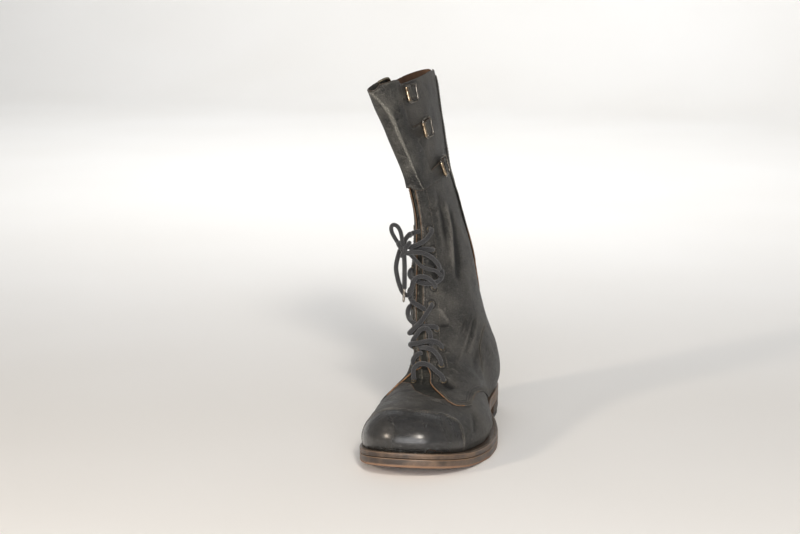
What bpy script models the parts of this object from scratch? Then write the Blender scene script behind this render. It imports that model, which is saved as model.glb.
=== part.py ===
"""A lace-up leather motorcycle boot for the left foot, standing on its sole.

Frame: +Z up, toe towards -Y, the outer (lateral) side towards +X. The origin is
the middle of the heel's bottom face. Tables and named sizes are in millimetres.

The upper is one surface. Level by level it is the outline of two solids melted
together: a foot solid, from the toe to the instep, and a shaft solid, from the
heel to the collar. A level is named by t (0 at the feather edge above the welt,
1 at the collar) and a place along it by v (0 at the front ridge, -1 round the
inner side to the back, +1 round the outer side to the back). Every piece of
leather, every eyelet, buckle and lace is placed by (t, v) and a lift along the
surface's normal, so that pieces follow the boot's own shape.
"""

import math

import bmesh
import bpy
import numpy as np

MM = 0.001

# ---------------------------------------------------------------- sizes ----
WALL = 2.4                # leather and lining of the upper
GAP = 0.35                # between curved pieces that touch
TOE_TIP_Y = -253.0        # front of the upper
HEEL_REACH_Y = 28.0       # where the foot solid closes behind
BALL_Y = -168.0           # the toe's curve starts ahead of here
BLEND = 0.34              # how softly foot and shaft melt together
TURN_CENTRE_Y = -30.0     # the shaft twists about this line
LEVEL_BACK_Y, LEVEL_FRONT_Y = 35.0, -250.0

WELT = 4.8                # welt and midsole, together
TOP_PIECE = 6.0           # the lowest lift, which meets the ground
HEEL_BREAST_Y = -41.0

# Height of the feather edge, where the upper meets the welt.
#           y     z
FEATHER = ((-260, 25.5), (-235, 20.5), (-205, 15.8), (-175, 13.8), (-125, 13.8),
           (-90, 17.5), (-55, 25.5), (-25, 29.0), (40, 29.0))
FLAT = 13.8               # feather height over the forefoot's flat spot

# The foot solid: x of its ridge, half-widths from the ridge, height of the ridge.
#        y    ridge_x  inner  outer  height
FOOT = ((-255, -12.0, 47.5, 60.5, 46.0),
        (-215, -11.5, 48.0, 61.5, 46.0),
        (-185, -11.0, 48.5, 63.0, 45.5),
        (-165, -10.5, 49.5, 65.5, 47.5),
        (-147, -10.0, 48.0, 65.5, 52.0),
        (-128, -9.5, 40.5, 63.5, 66.0),
        (-110, -8.5, 32.0, 59.5, 88.0),
        (-95, -6.0, 27.5, 53.0, 100.0),
        (-70, -4.0, 27.0, 42.0, 108.0),
        (-30, 0.0, 31.0, 36.5, 98.0),
        (10, 0.0, 32.5, 35.5, 80.0))
RIDGE_X, INNER, OUTER, HEIGHT = 1, 2, 3, 4

# How full the foot solid's sides are: 2.3 is boxy, 1 is a straight roof.
#        y    inner  outer
FULL = ((-200, 2.30, 2.28),
        (-165, 2.30, 2.28),
        (-147, 2.15, 2.10),
        (-130, 1.60, 1.75),
        (-113, 1.12, 1.45),
        (-98, 1.10, 1.35),
        (-75, 1.80, 1.50),
        (-30, 2.20, 2.20))
FULL_INNER, FULL_OUTER = 1, 2

# The shaft solid, standing straight: front, back, half-width, roundness.
#         z    front  back  half  power
SHAFT = ((20, -70, 32.0, 33.5, 2.3),
         (45, -76, 36.0, 37.5, 2.3),
         (70, -82, 37.0, 35.0, 2.2),
         (95, -91, 34.5, 29.5, 2.1),
         (120, -98, 31.5, 27.5, 2.0),
         (150, -92, 29.5, 23.5, 2.1),
         (178, -87, 28.5, 18.8, 2.4),
         (208, -83, 28.0, 13.9, 2.7),
         (244, -81, 29.0, 11.6, 2.9),
         (290, -88, 31.0, 14.2, 2.9),
         (350, -97, 32.0, 16.7, 2.7))
FRONT, BACK, HALF, POWER = 1, 2, 3, 4

# The empty shaft leans to the inner side and twists a little.
#        z   shift  turn in degrees
LEAN = ((0, 0.0, 0.0), (55, 0.0, 0.0), (80, -4.0, 4.0), (100, -8.5, 8.0),
        (126, -13.0, 10.5), (151, -16.0, 10.5), (178, -19.0, 9.5),
        (209, -23.5, 8.0), (244, -32.0, 7.5), (290, -43.0, 9.0), (350, -56.5, 12.0))

# Levels: height of each at the toe and at the back.
#          t   front  back
LEVELS = ((0.0, 24, 29), (0.1, 36, 44), (0.2, 48, 62), (0.3, 54, 80), (0.4, 55, 101),
          (0.5, 52, 130), (0.6, 66, 166), (0.7, 112, 206), (0.8, 172, 247),
          (0.9, 242, 293), (1.0, 319, 343))

# The throat: half its width from its foot up to the collar.
THROAT_T = 0.315
#          t   half-gap
THROAT = ((0.0, 4.8), (0.315, 4.8), (0.37, 4.8), (0.45, 4.2), (0.6, 3.4),
          (0.8, 2.4), (1.0, 3.2))


def table(rows, x, column=1):
    """A smooth curve through a table's rows that never overshoots them."""
    rows = np.asarray(rows, float)
    xs, ys = rows[:, 0], rows[:, column]
    step = np.diff(xs)
    slope = np.diff(ys) / step
    tangent = np.zeros(len(xs))
    rising = slope[:-1] * slope[1:] > 0
    before, after = 2 * step[1:] + step[:-1], step[1:] + 2 * step[:-1]
    tangent[1:-1][rising] = ((before + after)[rising]) / (
        before[rising] / slope[:-1][rising] + after[rising] / slope[1:][rising])
    tangent[0], tangent[-1] = slope[0], slope[-1]
    x = np.clip(x, xs[0], xs[-1])
    i = np.clip(np.searchsorted(xs, x, side="right") - 1, 0, len(step) - 1)
    s = (x - xs[i]) / step[i]
    return ((2 * s**3 - 3 * s**2 + 1) * ys[i] + (s**3 - 2 * s**2 + s) * step[i] * tangent[i]
            + (3 * s**2 - 2 * s**3) * ys[i + 1] + (s**3 - s**2) * step[i] * tangent[i + 1])


def smooth(s):
    """0 below 0, 1 above 1, and an S-curve between."""
    s = np.clip(s, 0.0, 1.0)
    return s * s * (3 - 2 * s)


# -------------------------------------------------------------- surface ----
def foot_gauge(x, y, z):
    """1 on the foot solid, less inside and more outside."""
    aside = x - table(FOOT, y, RIDGE_X)
    half = np.where(aside < 0, table(FOOT, y, INNER), table(FOOT, y, OUTER))
    ball = BALL_Y + 10 * np.tanh(aside / 25)
    rise = z - table(FEATHER, y)
    tuck = 0.055 * np.clip(1 - rise / 13, 0, 1)**2
    ahead = np.maximum(ball - y, 0) / (ball - TOE_TIP_Y)
    behind = np.maximum(y + 50, 0) / (50 + HEEL_REACH_Y)
    plan = ((np.abs(aside) / (half * (1 - tuck)))**2.45
            + (ahead / (1 - tuck / 2) + behind)**2.45)**(1 / 2.45)
    full = np.where(aside < 0, table(FULL, y, FULL_INNER), table(FULL, y, FULL_OUTER))
    return (plan**full + (np.clip(rise, 0, None) / table(FOOT, y, HEIGHT))**full)**(1 / full)


def shaft_gauge(x, y, z):
    """1 on the straight shaft solid, less inside and more outside."""
    front, back = table(SHAFT, z, FRONT), table(SHAFT, z, BACK)
    along = (y - (front + back) / 2) / ((back - front) / 2)
    high = smooth((z - 150) / 60)
    half = table(SHAFT, z, HALF) * (1 - (0.10 + 0.22 * high) * np.clip(-along, 0, 1)
                                    - 0.10 * high * np.clip(along, 0, 1))
    power = table(SHAFT, z, POWER)
    power = np.where(along < 0, power, np.minimum(power, 2.3))
    tuck = 1 - 0.07 * np.clip(1 - (z - table(FEATHER, y)) / 14, 0, 1)**2
    return ((np.abs(x) / (half * tuck))**power + (np.abs(along) / tuck)**power)**(1 / power)


def gauge(x, y, z):
    """Foot and shaft melted together: 1 on the boot's outer surface."""
    foot, shaft = foot_gauge(x, y, z), shaft_gauge(x, y, z)
    melt = np.maximum(BLEND - np.abs(foot - shaft), 0)**2 / (4 * BLEND)
    return np.minimum(foot, shaft) - melt


def level_height(t, y):
    """Height of level t above the ground at y. Low levels follow the feather edge."""
    low, high = table(LEVELS, t, 1), table(LEVELS, t, 2)
    along = (y - LEVEL_FRONT_Y) / (LEVEL_BACK_Y - LEVEL_FRONT_Y)
    straight = LEVELS[0][1] + (LEVELS[0][2] - LEVELS[0][1]) * along
    return low + (high - low) * along + (table(FEATHER, y) - straight) * (1 - smooth(t / 0.22))


def spine_x(y, z):
    """The middle of the outline: the foot's ridge low down, the shaft's middle above."""
    return table(FOOT, y, RIDGE_X) * (1 - smooth((z - 90) / 60))


def bisect(inside, outside, is_outside, steps=26):
    """Where is_outside turns true between two sets of distances."""
    for _ in range(steps):
        middle = (inside + outside) / 2
        out = is_outside(middle)
        inside, outside = np.where(out, inside, middle), np.where(out, middle, outside)
    return (inside + outside) / 2


def level_front(t):
    """y where each level leaves the solid at the front."""
    def outside(level, y):
        z = level_height(level, y)
        return gauge(spine_x(y, z), y, z) > 1

    marks = np.linspace(-20, TOE_TIP_Y - 8, 220)
    first = np.argmax(outside(t[:, None], marks[None, :]), axis=1)
    return bisect(marks[first - 1], marks[first], lambda y: outside(t, y))


def lean(points):
    """The straight shape's points, moved to where the slack boot holds them."""
    x, y, z = np.moveaxis(points, -1, 0)
    turn = np.radians(table(LEAN, z, 2))
    ahead = y - TURN_CENTRE_Y
    return np.stack([x * np.cos(turn) + ahead * np.sin(turn) + table(LEAN, z, 1),
                     ahead * np.cos(turn) - x * np.sin(turn) + TURN_CENTRE_Y, z], -1)


def outline_points(t, count, rays=300):
    """Points of each level, from v = -1 to v = 1, evenly spaced round each side.

    Rays leave a spine inside the outline: a fan at its front end, a comb along
    it, and a fan at its back end.
    """
    front = level_front(t)
    rear_y = -2.0
    front_y = np.minimum(front + np.clip((rear_y - front) * 0.45, 25, 58), rear_y - 4)[:, None]
    start_x = spine_x(front_y, level_height(t[:, None], front_y))
    s = np.linspace(0, 3, rays)[None, :]
    comb = np.clip(s - 1, 0, 1)
    angle = (np.clip(s, 0, 1) + np.clip(s - 2, 0, 1)) * math.pi / 2
    y0 = front_y + (rear_y - front_y) * comb
    x0 = start_x * (1 - comb)
    t_of = t[:, None] + 0 * y0
    sides = []
    for side in (-1, 1):
        def at(reach):
            x, y = x0 + reach * side * np.sin(angle), y0 - reach * np.cos(angle)
            return x, y, level_height(t_of, y)

        reach = bisect(0 * y0, 0 * y0 + 130, lambda far: gauge(*at(far)) > 1)
        points = lean(np.stack(at(reach), -1))
        length = np.cumsum(np.linalg.norm(np.diff(points, axis=1, prepend=points[:, :1]), axis=2), 1)
        even = np.linspace(0, 1, count)[None, :] * length[:, -1:]
        sides.append(np.stack([[np.interp(e, l, p[:, k]) for e, l, p in zip(even, length, points)]
                               for k in range(3)], -1))
    inner, outer = sides
    return np.concatenate([inner[:, ::-1], outer[:, 1:]], 1)


def box_filter(field, width):
    """A light running mean down the levels that takes out the kinks between table rows."""
    padded = np.concatenate([field[:1]] * width + [field] + [field[-1:]] * width)
    sums = np.cumsum(np.concatenate([0 * padded[:1], padded]), axis=0)
    return (sums[2 * width + 1:] - sums[:-2 * width - 1]) / (2 * width + 1)


class Surface:
    """The upper's outer surface, sampled densely once and read anywhere."""

    def __init__(self, levels=181, count=121):
        self.t = np.linspace(0, 1, levels)
        self.points = outline_points(self.t, count)
        self.v = np.linspace(-1, 1, 2 * count - 1)
        up, along = np.gradient(self.points, axis=0), np.gradient(self.points, axis=1)
        # v = -1 and v = 1 are one line, so the slope along the level is shared there.
        shared = (along[:, 0] + along[:, -1]) / 2
        along[:, 0] = along[:, -1] = shared
        normal = box_filter(np.cross(along, up), 1)
        self.normals = normal / np.linalg.norm(normal, axis=2, keepdims=True)
        self.half_length = np.linalg.norm(np.diff(self.points[:, count - 1:], axis=1), axis=2).sum(1)

    def read(self, field, t, v):
        t, v = np.broadcast_arrays(np.asarray(t, float), np.asarray(v, float))
        v = (v + 1) % 2 - 1
        i = np.clip(t, 0, 1) * (len(self.t) - 1)
        j = (v + 1) / 2 * (len(self.v) - 1)
        i0 = np.clip(np.floor(i).astype(int), 0, len(self.t) - 2)
        j0 = np.clip(np.floor(j).astype(int), 0, len(self.v) - 2)
        a, b = (i - i0)[..., None], (j - j0)[..., None]
        return ((1 - a) * ((1 - b) * field[i0, j0] + b * field[i0, j0 + 1])
                + a * ((1 - b) * field[i0 + 1, j0] + b * field[i0 + 1, j0 + 1]))

    def at(self, t, v, lift=0.0):
        """Points lifted off the surface along its normal."""
        normal = self.read(self.normals, t, v)
        normal = normal / np.linalg.norm(normal, axis=-1, keepdims=True)
        return self.read(self.points, t, v) + normal * np.asarray(lift, float)[..., None]

    def girth(self, t):
        """Length of one side of a level, from the front ridge to the back."""
        return np.interp(t, self.t, self.half_length)

    def patch(self, t0, v0, aside, up, lift=0.0):
        """Points at millimetre offsets from (t0, v0): aside is backwards along the level."""
        step = 0.004
        rise = (self.at(t0 + step, v0) - self.at(t0 - step, v0)) / (2 * step)
        run = (self.at(t0, v0 + step) - self.at(t0, v0 - step)) / (2 * step)
        run_length = np.linalg.norm(run)
        slant = rise @ run / run_length
        climb = math.sqrt(rise @ rise - slant**2)
        dt = np.asarray(up, float) / climb
        dv = (np.asarray(aside, float) - dt * slant) / run_length
        return self.at(t0 + dt, v0 + dv, lift)


# ----------------------------------------------------- mesh and objects ----
def material(name, colour, roughness, metallic=0.0):
    mat = bpy.data.materials.get(name)
    if mat:
        return mat
    mat = bpy.data.materials.new(name)
    mat.use_nodes = True
    shader = mat.node_tree.nodes["Principled BSDF"]
    shader.inputs["Base Color"].default_value = (*colour, 1.0)
    shader.inputs["Roughness"].default_value = roughness
    shader.inputs["Metallic"].default_value = metallic
    return mat


BLACK_LEATHER = ("black_leather", (0.045, 0.042, 0.040), 0.45)
CAP_LEATHER = ("polished_cap_leather", (0.050, 0.046, 0.042), 0.30)
BROWN_LEATHER = ("brown_leather", (0.22, 0.11, 0.055), 0.65)
SOLE_LEATHER = ("sole_leather", (0.075, 0.052, 0.040), 0.50)
HEEL_RUBBER = ("black_rubber", (0.030, 0.029, 0.028), 0.70)
LACE_CLOTH = ("black_lace", (0.020, 0.020, 0.021), 0.85)
BRASS = ("worn_brass", (0.55, 0.42, 0.22), 0.35, 1.0)
STEEL = ("dull_steel", (0.50, 0.49, 0.47), 0.35, 1.0)


def add_object(name, points, faces, look):
    """A mesh object from millimetre points, smooth except at its corners."""
    mesh = bpy.data.meshes.new(name)
    mesh.from_pydata([tuple(p) for p in np.asarray(points, float) * MM], [], faces)
    bm = bmesh.new()
    bm.from_mesh(mesh)
    bmesh.ops.remove_doubles(bm, verts=bm.verts, dist=0.00001)
    bmesh.ops.recalc_face_normals(bm, faces=bm.faces)
    bm.to_mesh(mesh)
    bm.free()
    mesh.materials.append(material(*look))
    mesh.shade_smooth()
    mesh.set_sharp_from_angle(angle=math.radians(40))
    obj = bpy.data.objects.new(name, mesh)
    bpy.context.scene.collection.objects.link(obj)
    return obj


def shell(name, outer, inner, look, keep=None, wrap=False, mirrored=None):
    """A leather sheet: two grids of points, the cells kept, and walls round their edge.

    Each cell is split along one diagonal, and in mirrored columns along the other,
    so that sheets on the same grid bend along the same lines.
    """
    rows, columns = outer.shape[:2]
    cells_across = columns if wrap else columns - 1
    if keep is None:
        keep = np.ones((rows - 1, cells_across), bool)
    if mirrored is None:
        mirrored = np.zeros(cells_across, bool)
    offset = rows * columns

    def corner(i, j, side):
        return i * columns + j % columns + side * offset

    faces, edges = [], {}
    for i in range(rows - 1):
        for j in range(cells_across):
            if not keep[i, j]:
                continue
            ring = [(i, j), (i, j + 1), (i + 1, j + 1), (i + 1, j)]
            cell = ring[1:] + ring[:1] if mirrored[j] else ring
            for three in (cell[:3], [cell[0], cell[2], cell[3]]):
                faces.append([corner(*c, 0) for c in three])
                faces.append([corner(*c, 1) for c in reversed(three)])
            for a, b in zip(ring, ring[1:] + ring[:1]):
                key = tuple(sorted((corner(*a, 0), corner(*b, 0))))
                edges[key] = None if key in edges else (a, b)
    for pair in edges.values():
        if pair:
            a, b = pair
            faces.append([corner(*b, 0), corner(*a, 0), corner(*a, 1), corner(*b, 1)])
    points = np.concatenate([outer.reshape(-1, 3), inner.reshape(-1, 3)])
    used = sorted({index for face in faces for index in face})
    order = {index: place for place, index in enumerate(used)}
    return add_object(name, points[used], [[order[i] for i in face] for face in faces], look)


def slab(name, rings, front, look):
    """A plate or block from closed outlines at rising heights.

    Its end faces are strips across, which start at the point numbered front.
    """
    count = len(rings[0])
    faces = []
    for level in range(len(rings) - 1):
        low, high = level * count, (level + 1) * count
        for i in range(count):
            j = (i + 1) % count
            faces.append([low + i, low + j, high + j, high + i])
    top = (len(rings) - 1) * count
    for i in range((count + 1) // 2):
        strip = [(front - i) % count, (front - i - 1) % count, (front + i + 1) % count, (front + i) % count]
        strip = list(dict.fromkeys(strip))
        if len(strip) > 2:
            faces.append(strip)
            faces.append([top + p for p in reversed(strip)])
    return add_object(name, np.concatenate(rings), faces, look)


def tube(name, path, radius, look, sides=6):
    """A closed tube along a path of points."""
    path = np.asarray(path, float)
    ahead = np.gradient(path, axis=0)
    ahead /= np.linalg.norm(ahead, axis=1, keepdims=True)
    points, normal = [], np.cross(ahead[0], (0.31, 0.17, 0.93))
    for centre, direction in zip(path, ahead):
        normal = normal - direction * (normal @ direction)
        normal /= np.linalg.norm(normal)
        other = np.cross(direction, normal)
        for k in range(sides):
            a = 2 * math.pi * k / sides
            points.append(centre + radius * (math.cos(a) * normal + math.sin(a) * other))
    faces = []
    for i in range(len(path) - 1):
        for k in range(sides):
            m = (k + 1) % sides
            faces.append([i * sides + k, i * sides + m, (i + 1) * sides + m, (i + 1) * sides + k])
    last = (len(path) - 1) * sides
    faces.append([k for k in reversed(range(sides))])
    faces.append([last + k for k in range(sides)])
    return add_object(name, points, faces, look)


def apply_boolean(base, other, operation):
    step = base.modifiers.new("solid", "BOOLEAN")
    step.operation = operation
    step.object = other
    bpy.context.view_layer.update()
    graph = bpy.context.evaluated_depsgraph_get()
    result = bpy.data.meshes.new_from_object(base.evaluated_get(graph))
    base.modifiers.remove(step)
    base.data = result
    base.data.name = base.name
    bpy.data.objects.remove(other)
    return base


def join_solids(base, *others):
    """Union of overlapping solids into the first object."""
    for other in others:
        apply_boolean(base, other, "UNION")
    return base


def cord(name, points, diameter, look):
    """A plain lace tube through hand-placed points, on one smooth curve."""
    points = np.asarray(points, float)
    length = np.concatenate([[0], np.cumsum(np.linalg.norm(np.diff(points, axis=0), axis=1))])
    count = max(6, int(round(length[-1] / (1.5 * diameter))) + 1)
    even = np.linspace(0, length[-1], count)
    path = catmull(points, length, even)
    curve = bpy.data.curves.new(name, "CURVE")
    curve.dimensions = "3D"
    curve.bevel_depth = diameter / 2 * MM
    curve.bevel_resolution = 2
    curve.use_fill_caps = True
    spline = curve.splines.new("POLY")
    spline.points.add(count - 1)
    for target, p in zip(spline.points, path * MM):
        target.co = (*p, 1.0)
    curve.materials.append(material(*look))
    obj = bpy.data.objects.new(name, curve)
    bpy.context.scene.collection.objects.link(obj)
    return obj


def catmull(points, length, even):
    """A smooth curve through points, read at distances along them."""
    tangent = np.gradient(points, length, axis=0)
    i = np.clip(np.searchsorted(length, even, side="right") - 1, 0, len(points) - 2)
    step = (length[i + 1] - length[i])[:, None]
    s = (even - length[i])[:, None] / step
    return ((2 * s**3 - 3 * s**2 + 1) * points[i] + (s**3 - 2 * s**2 + s) * step * tangent[i]
            + (3 * s**2 - 2 * s**3) * points[i + 1] + (s**3 - s**2) * step * tangent[i + 1])


# --------------------------------------------------------------- leather ----
UPPER_ROWS, UPPER_COLUMNS = 28, 18    # of the upper's grid, columns each side
CAP_BOTTOM_T = 0.015                  # the toe cap starts this far up


def even_levels(surface, start, stop, count, extra=()):
    """Levels spaced by how far the surface travels, front and back together."""
    t = np.linspace(start, stop, 400)
    front = np.linalg.norm(np.diff(surface.at(t, 0 * t), axis=0), axis=1)
    back = np.linalg.norm(np.diff(surface.at(t, 0 * t + 1), axis=0), axis=1)
    travel = np.concatenate([[0], np.cumsum(0.6 * front + 0.4 * back)])
    levels = np.interp(np.linspace(0, travel[-1], count), travel, t)
    for value in extra:
        levels[np.argmin(np.abs(levels - value))] = value
    return levels


def columns(surface, t, count):
    """v of every grid column at level t: the throat's edges, the ridge, and the sides."""
    edge = table(THROAT, t) / surface.girth(t)
    share = np.linspace(0, 1, count)**1.12
    side = edge + (1 - edge) * share
    return np.concatenate([-side[::-1], [0], side])


def upper_grid(surface):
    """The levels and places of the upper's own grid. Pieces that lie on it share them."""
    levels = even_levels(surface, CAP_BOTTOM_T, 1, UPPER_ROWS - 1, extra=(THROAT_T,))
    levels = np.concatenate([[0], levels])
    return levels, np.array([columns(surface, t, UPPER_COLUMNS) for t in levels])


def make_upper(surface):
    """The hollow upper, open at the collar, down the throat and underneath."""
    levels, v = upper_grid(surface)
    v = v[:, :-1]
    middle = v.shape[1] // 2
    keep = np.ones((len(levels) - 1, v.shape[1]), bool)
    open_from = np.argmin(np.abs(levels - THROAT_T))
    keep[open_from:, middle:middle + 2] = False
    t = levels[:, None] + 0 * v
    shell("upper", surface.at(t, v), surface.at(t, v, -WALL), BLACK_LEATHER, keep, wrap=True,
          mirrored=v[0] < -1e-6)


TONGUE = 1.8
TONGUE_COLUMNS = 3        # how far it goes under each facing, in the upper's columns
TONGUE_CLEAR = 0.7        # inside the facings
TONGUE_FOOT_DROP = 5.0    # deeper where it is sewn to the vamp
# Its top rolls forward: rise above the collar, and how far forward.
TONGUE_TOP = ((3.5, 0.0), (6.5, 1.0), (8.5, 3.0))


def make_tongue(surface):
    """It lies under the facings and shows in the throat, and stands above the collar."""
    levels, v = upper_grid(surface)
    middle = v.shape[1] // 2
    v = v[levels >= THROAT_T, middle - TONGUE_COLUMNS:middle + TONGUE_COLUMNS + 1]
    levels = levels[levels >= THROAT_T]
    t = levels[:, None] + 0 * v
    depth = WALL + TONGUE_CLEAR + TONGUE_FOOT_DROP * (1 - smooth((t - THROAT_T) / 0.12))
    outer = surface.at(t, v, -depth)
    inner = surface.at(t, v, -(depth + TONGUE))
    up = outer[-1] - outer[-2]
    up = up / np.linalg.norm(up, axis=1, keepdims=True)
    out = surface.read(surface.normals, t[-1], v[-1])
    for rise, roll in TONGUE_TOP:
        shift = up * rise + out * roll
        outer, inner = (np.concatenate([grid, (grid[len(levels) - 1] + shift)[None]])
                        for grid in (outer, inner))
    shell("tongue", outer, inner, BLACK_LEATHER, mirrored=v[0, :-1] < -1e-6)


CAP_THICK = 1.6
CAP_COLUMNS = 8           # each side, in the upper's columns
#            x    y of the cap's rear edge
CAP_EDGE = ((-90, -209), (-60, -212), (-42, -215.5), (-20, -219), (2, -219), (22, -212),
            (30, -208), (37, -208.5), (44, -215), (90, -225))


def make_toe_cap(surface):
    """The upper's own shape, lifted, as far back as the cap's stitched edge."""
    levels, v = upper_grid(surface)
    middle = v.shape[1] // 2
    v = v[:, middle - CAP_COLUMNS:middle + CAP_COLUMNS + 1]
    low = (levels >= CAP_BOTTOM_T) & (levels <= THROAT_T)
    levels, v = levels[low], v[low]
    t = levels[:, None] + 0 * v
    cap = shell("toe_cap", surface.at(t, v, GAP + CAP_THICK), surface.at(t, v, GAP), CAP_LEATHER,
                mirrored=v[0, :-1] < -1e-6)
    x = np.linspace(CAP_EDGE[0][0], CAP_EDGE[-1][0], 41)
    plan = np.concatenate([np.column_stack([x, table(CAP_EDGE, x)]), [(90, -300), (-90, -300)]])
    keep_solid(cap, prism(plan, -10, 130))


def prism(plan, low, high):
    """An upright block with the given plan."""
    count = len(plan)
    points = [(*p, z) for z in (low, high) for p in plan]
    faces = [list(range(count))[::-1], [count + i for i in range(count)]]
    faces += [[i, (i + 1) % count, count + (i + 1) % count, count + i] for i in range(count)]
    return add_object("prism", points, faces, BLACK_LEATHER)


def keep_solid(base, other):
    """Keep what lies inside the other solid."""
    return apply_boolean(base, other, "INTERSECT")


BACKSTAY_T = (0.455, 0.99)
BACKSTAY_COLUMNS = 3      # its reach to each side of the back, in the upper's columns
BACKSTAY_THICK = 1.4


def make_backstay(surface):
    """The wide strip over the back seam, from above the counter to the collar."""
    levels, v = upper_grid(surface)
    low, high = BACKSTAY_T
    inside = (levels > low) & (levels < high)
    levels, v = levels[inside], v[inside]
    v = np.concatenate([v[:, -1 - BACKSTAY_COLUMNS:], 2 + v[:, 1:BACKSTAY_COLUMNS + 1]], 1)
    t = levels[:, None] + 0 * v
    shell("backstay", surface.at(t, v, GAP + BACKSTAY_THICK), surface.at(t, v, GAP), BLACK_LEATHER,
          mirrored=v[0, :-1] > 1 - 1e-6)


# The leg flap is sewn down on the inner side, is creased sharply at the front and
# closes on the outer side with three tabs. It stands off the shaft at its crease.
FLAP_THICK = 2.2
#        t     inner_v  outer_v  crease_v  stand-off
FLAP = ((0.834, -0.50, 0.400, 0.150, 1.0),
        (0.860, -0.51, 0.335, 0.120, 2.2),
        (0.905, -0.52, 0.245, 0.085, 4.2),
        (0.940, -0.53, 0.215, 0.060, 5.2),
        (0.975, -0.53, 0.180, 0.035, 6.2),
        (0.994, -0.53, 0.170, 0.025, 6.8))
FLAP_INNER, FLAP_OUTER, FLAP_CREASE, FLAP_STAND = 1, 2, 3, 4
FLAP_LIFT = 1.0
FLAP_ROWS = 10
FLAP_COLUMNS = (9, 4, 6)  # to the ridge, on to the crease, on to the outer edge
# Buckles: level, place, and how far in front of the buckle the tab leaves the flap.
#           t      v     root
BUCKLES = ((0.982, 0.275, 20.0), (0.918, 0.375, 24.0), (0.832, 0.570, 24.0))
TAB_HALF = 7.0
TAB_THICK = 1.5


def make_flap(surface):
    """One sheet round the front of the shaft, with its tabs joined on."""
    levels = even_levels(surface, FLAP[0][0], FLAP[-1][0], FLAP_ROWS)
    inner, outer, crease, stand = (table(FLAP, levels, k)[:, None]
                                   for k in (FLAP_INNER, FLAP_OUTER, FLAP_CREASE, FLAP_STAND))
    to_ridge, to_crease, to_edge = (np.linspace(0, 1, count)[None, :] for count in FLAP_COLUMNS)
    to_ridge = 1 - (1 - to_ridge)**1.6
    v = np.concatenate([inner * (1 - to_ridge), (crease * to_crease)[:, 1:],
                        (crease + (outer - crease) * to_edge)[:, 1:]], 1)
    tent = np.concatenate([smooth(to_ridge * 1.05), 0 * to_crease[:, 1:] + 1, 1 - to_edge[:, 1:]], 1)
    t = levels[:, None] + 0 * v
    lift = FLAP_LIFT + stand * tent
    flap = shell("leg_flap", surface.at(t, v, lift + FLAP_THICK), surface.at(t, v, lift), BLACK_LEATHER)
    join_solids(flap, *[make_tab(surface, k, *row) for k, row in enumerate(BUCKLES)])


# The tab under the roller, over the middle bar and under the rear bar.
#              aside  lift of its underside
TAB_ROUTE = ((-40, 1.0), (-12, 1.0), (-7.0, 0.6), (-2.5, 1.9), (0.0, 3.3), (2.5, 2.9),
             (7.0, 2.0), (11.0, 1.9), (15.0, 1.9))
TAB_TIP = 14.0


def make_tab(surface, k, t0, v0, root):
    """A strap from the flap through its buckle, which narrows to its tip."""
    aside = np.array([-root, -root * 0.75, -14, -10, -7, -4.5, -2.5, 0, 2.5, 4.5, 7, 10.5, TAB_TIP])
    half = np.where(aside < 10, TAB_HALF, TAB_HALF * (1 - 0.62 * smooth((aside - 9) / 5)))
    across = np.array([-1, -0.33, 0.33, 1])[None, :] * half[:, None]
    lift = table(TAB_ROUTE, aside)[:, None] + 0 * across
    aside = aside[:, None] + 0 * across
    return shell(f"tab_{k + 1}", surface.patch(t0, v0, aside, across, lift + TAB_THICK),
                 surface.patch(t0, v0, aside, across, lift), BLACK_LEATHER)


CHAPE_THICK = 1.2


def make_chape(surface, k, t0, v0):
    """The strip that holds the buckle's middle bar and is sewn to the shaft behind it."""
    aside = np.array([1.4, 4.5, 8, 12, 16])
    across = np.array([-1, -0.33, 0.33, 1])[None, :] * 6.5 + 0 * aside[:, None]
    aside = aside[:, None] + 0 * across
    shell(f"buckle_{k + 1}_chape", surface.patch(t0, v0, aside, across, 0.4 + CHAPE_THICK),
          surface.patch(t0, v0, aside, across, 0.4 + 0 * across), BLACK_LEATHER)


BUCKLE_HALF_WIDE = 9.3    # along the bars
BUCKLE_HALF_LONG = 8.0    # along the strap
WIRE = 0.95
ROLLER_RADIUS = 1.9
BAR_LIFT, ROLLER_LIFT, REAR_LIFT = 2.0, 4.5, 4.9


def make_buckle(surface, k, t0, v0):
    """A wire frame with a middle bar, and a roller on its front bar."""
    def place(route):
        route = np.asarray(route, float)
        return surface.patch(t0, v0, route[:, 0], route[:, 1], route[:, 2])

    wide, long = BUCKLE_HALF_WIDE, BUCKLE_HALF_LONG
    corner = 2.0
    rear = [(long, -wide + corner, REAR_LIFT), (long, wide - corner, REAR_LIFT)]
    front = [(-long, wide - corner, ROLLER_LIFT), (-long, -wide + corner, ROLLER_LIFT)]
    turn_rear = [(long - 0.6, wide - 0.6, REAR_LIFT), (long - corner, wide, REAR_LIFT - 0.2)]
    side = [(0, wide, 3.4), (-long + corner, wide, ROLLER_LIFT - 0.2)]
    turn_front = [(-long + 0.6, wide - 0.6, ROLLER_LIFT)]
    half_way = rear + turn_rear + side + turn_front + front
    back_again = [(a, -b, c) for a, b, c in (turn_front + side[::-1] + turn_rear[::-1])]
    frame = ring_tube(f"buckle_{k + 1}_frame", place(half_way + back_again), WIRE, STEEL)
    bar_route = [(0, -wide, 3.0), (0, -wide + 1.6, BAR_LIFT), (0, 0, BAR_LIFT), (0, wide - 1.6, BAR_LIFT),
                 (0, wide, 3.0)]
    bar = tube("bar", place(bar_route), WIRE * 0.9, STEEL)
    join_solids(frame, bar)
    hollow_roller(f"buckle_{k + 1}_roller", place([(-long, -6.9, ROLLER_LIFT), (-long, 6.9, ROLLER_LIFT)]))


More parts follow.
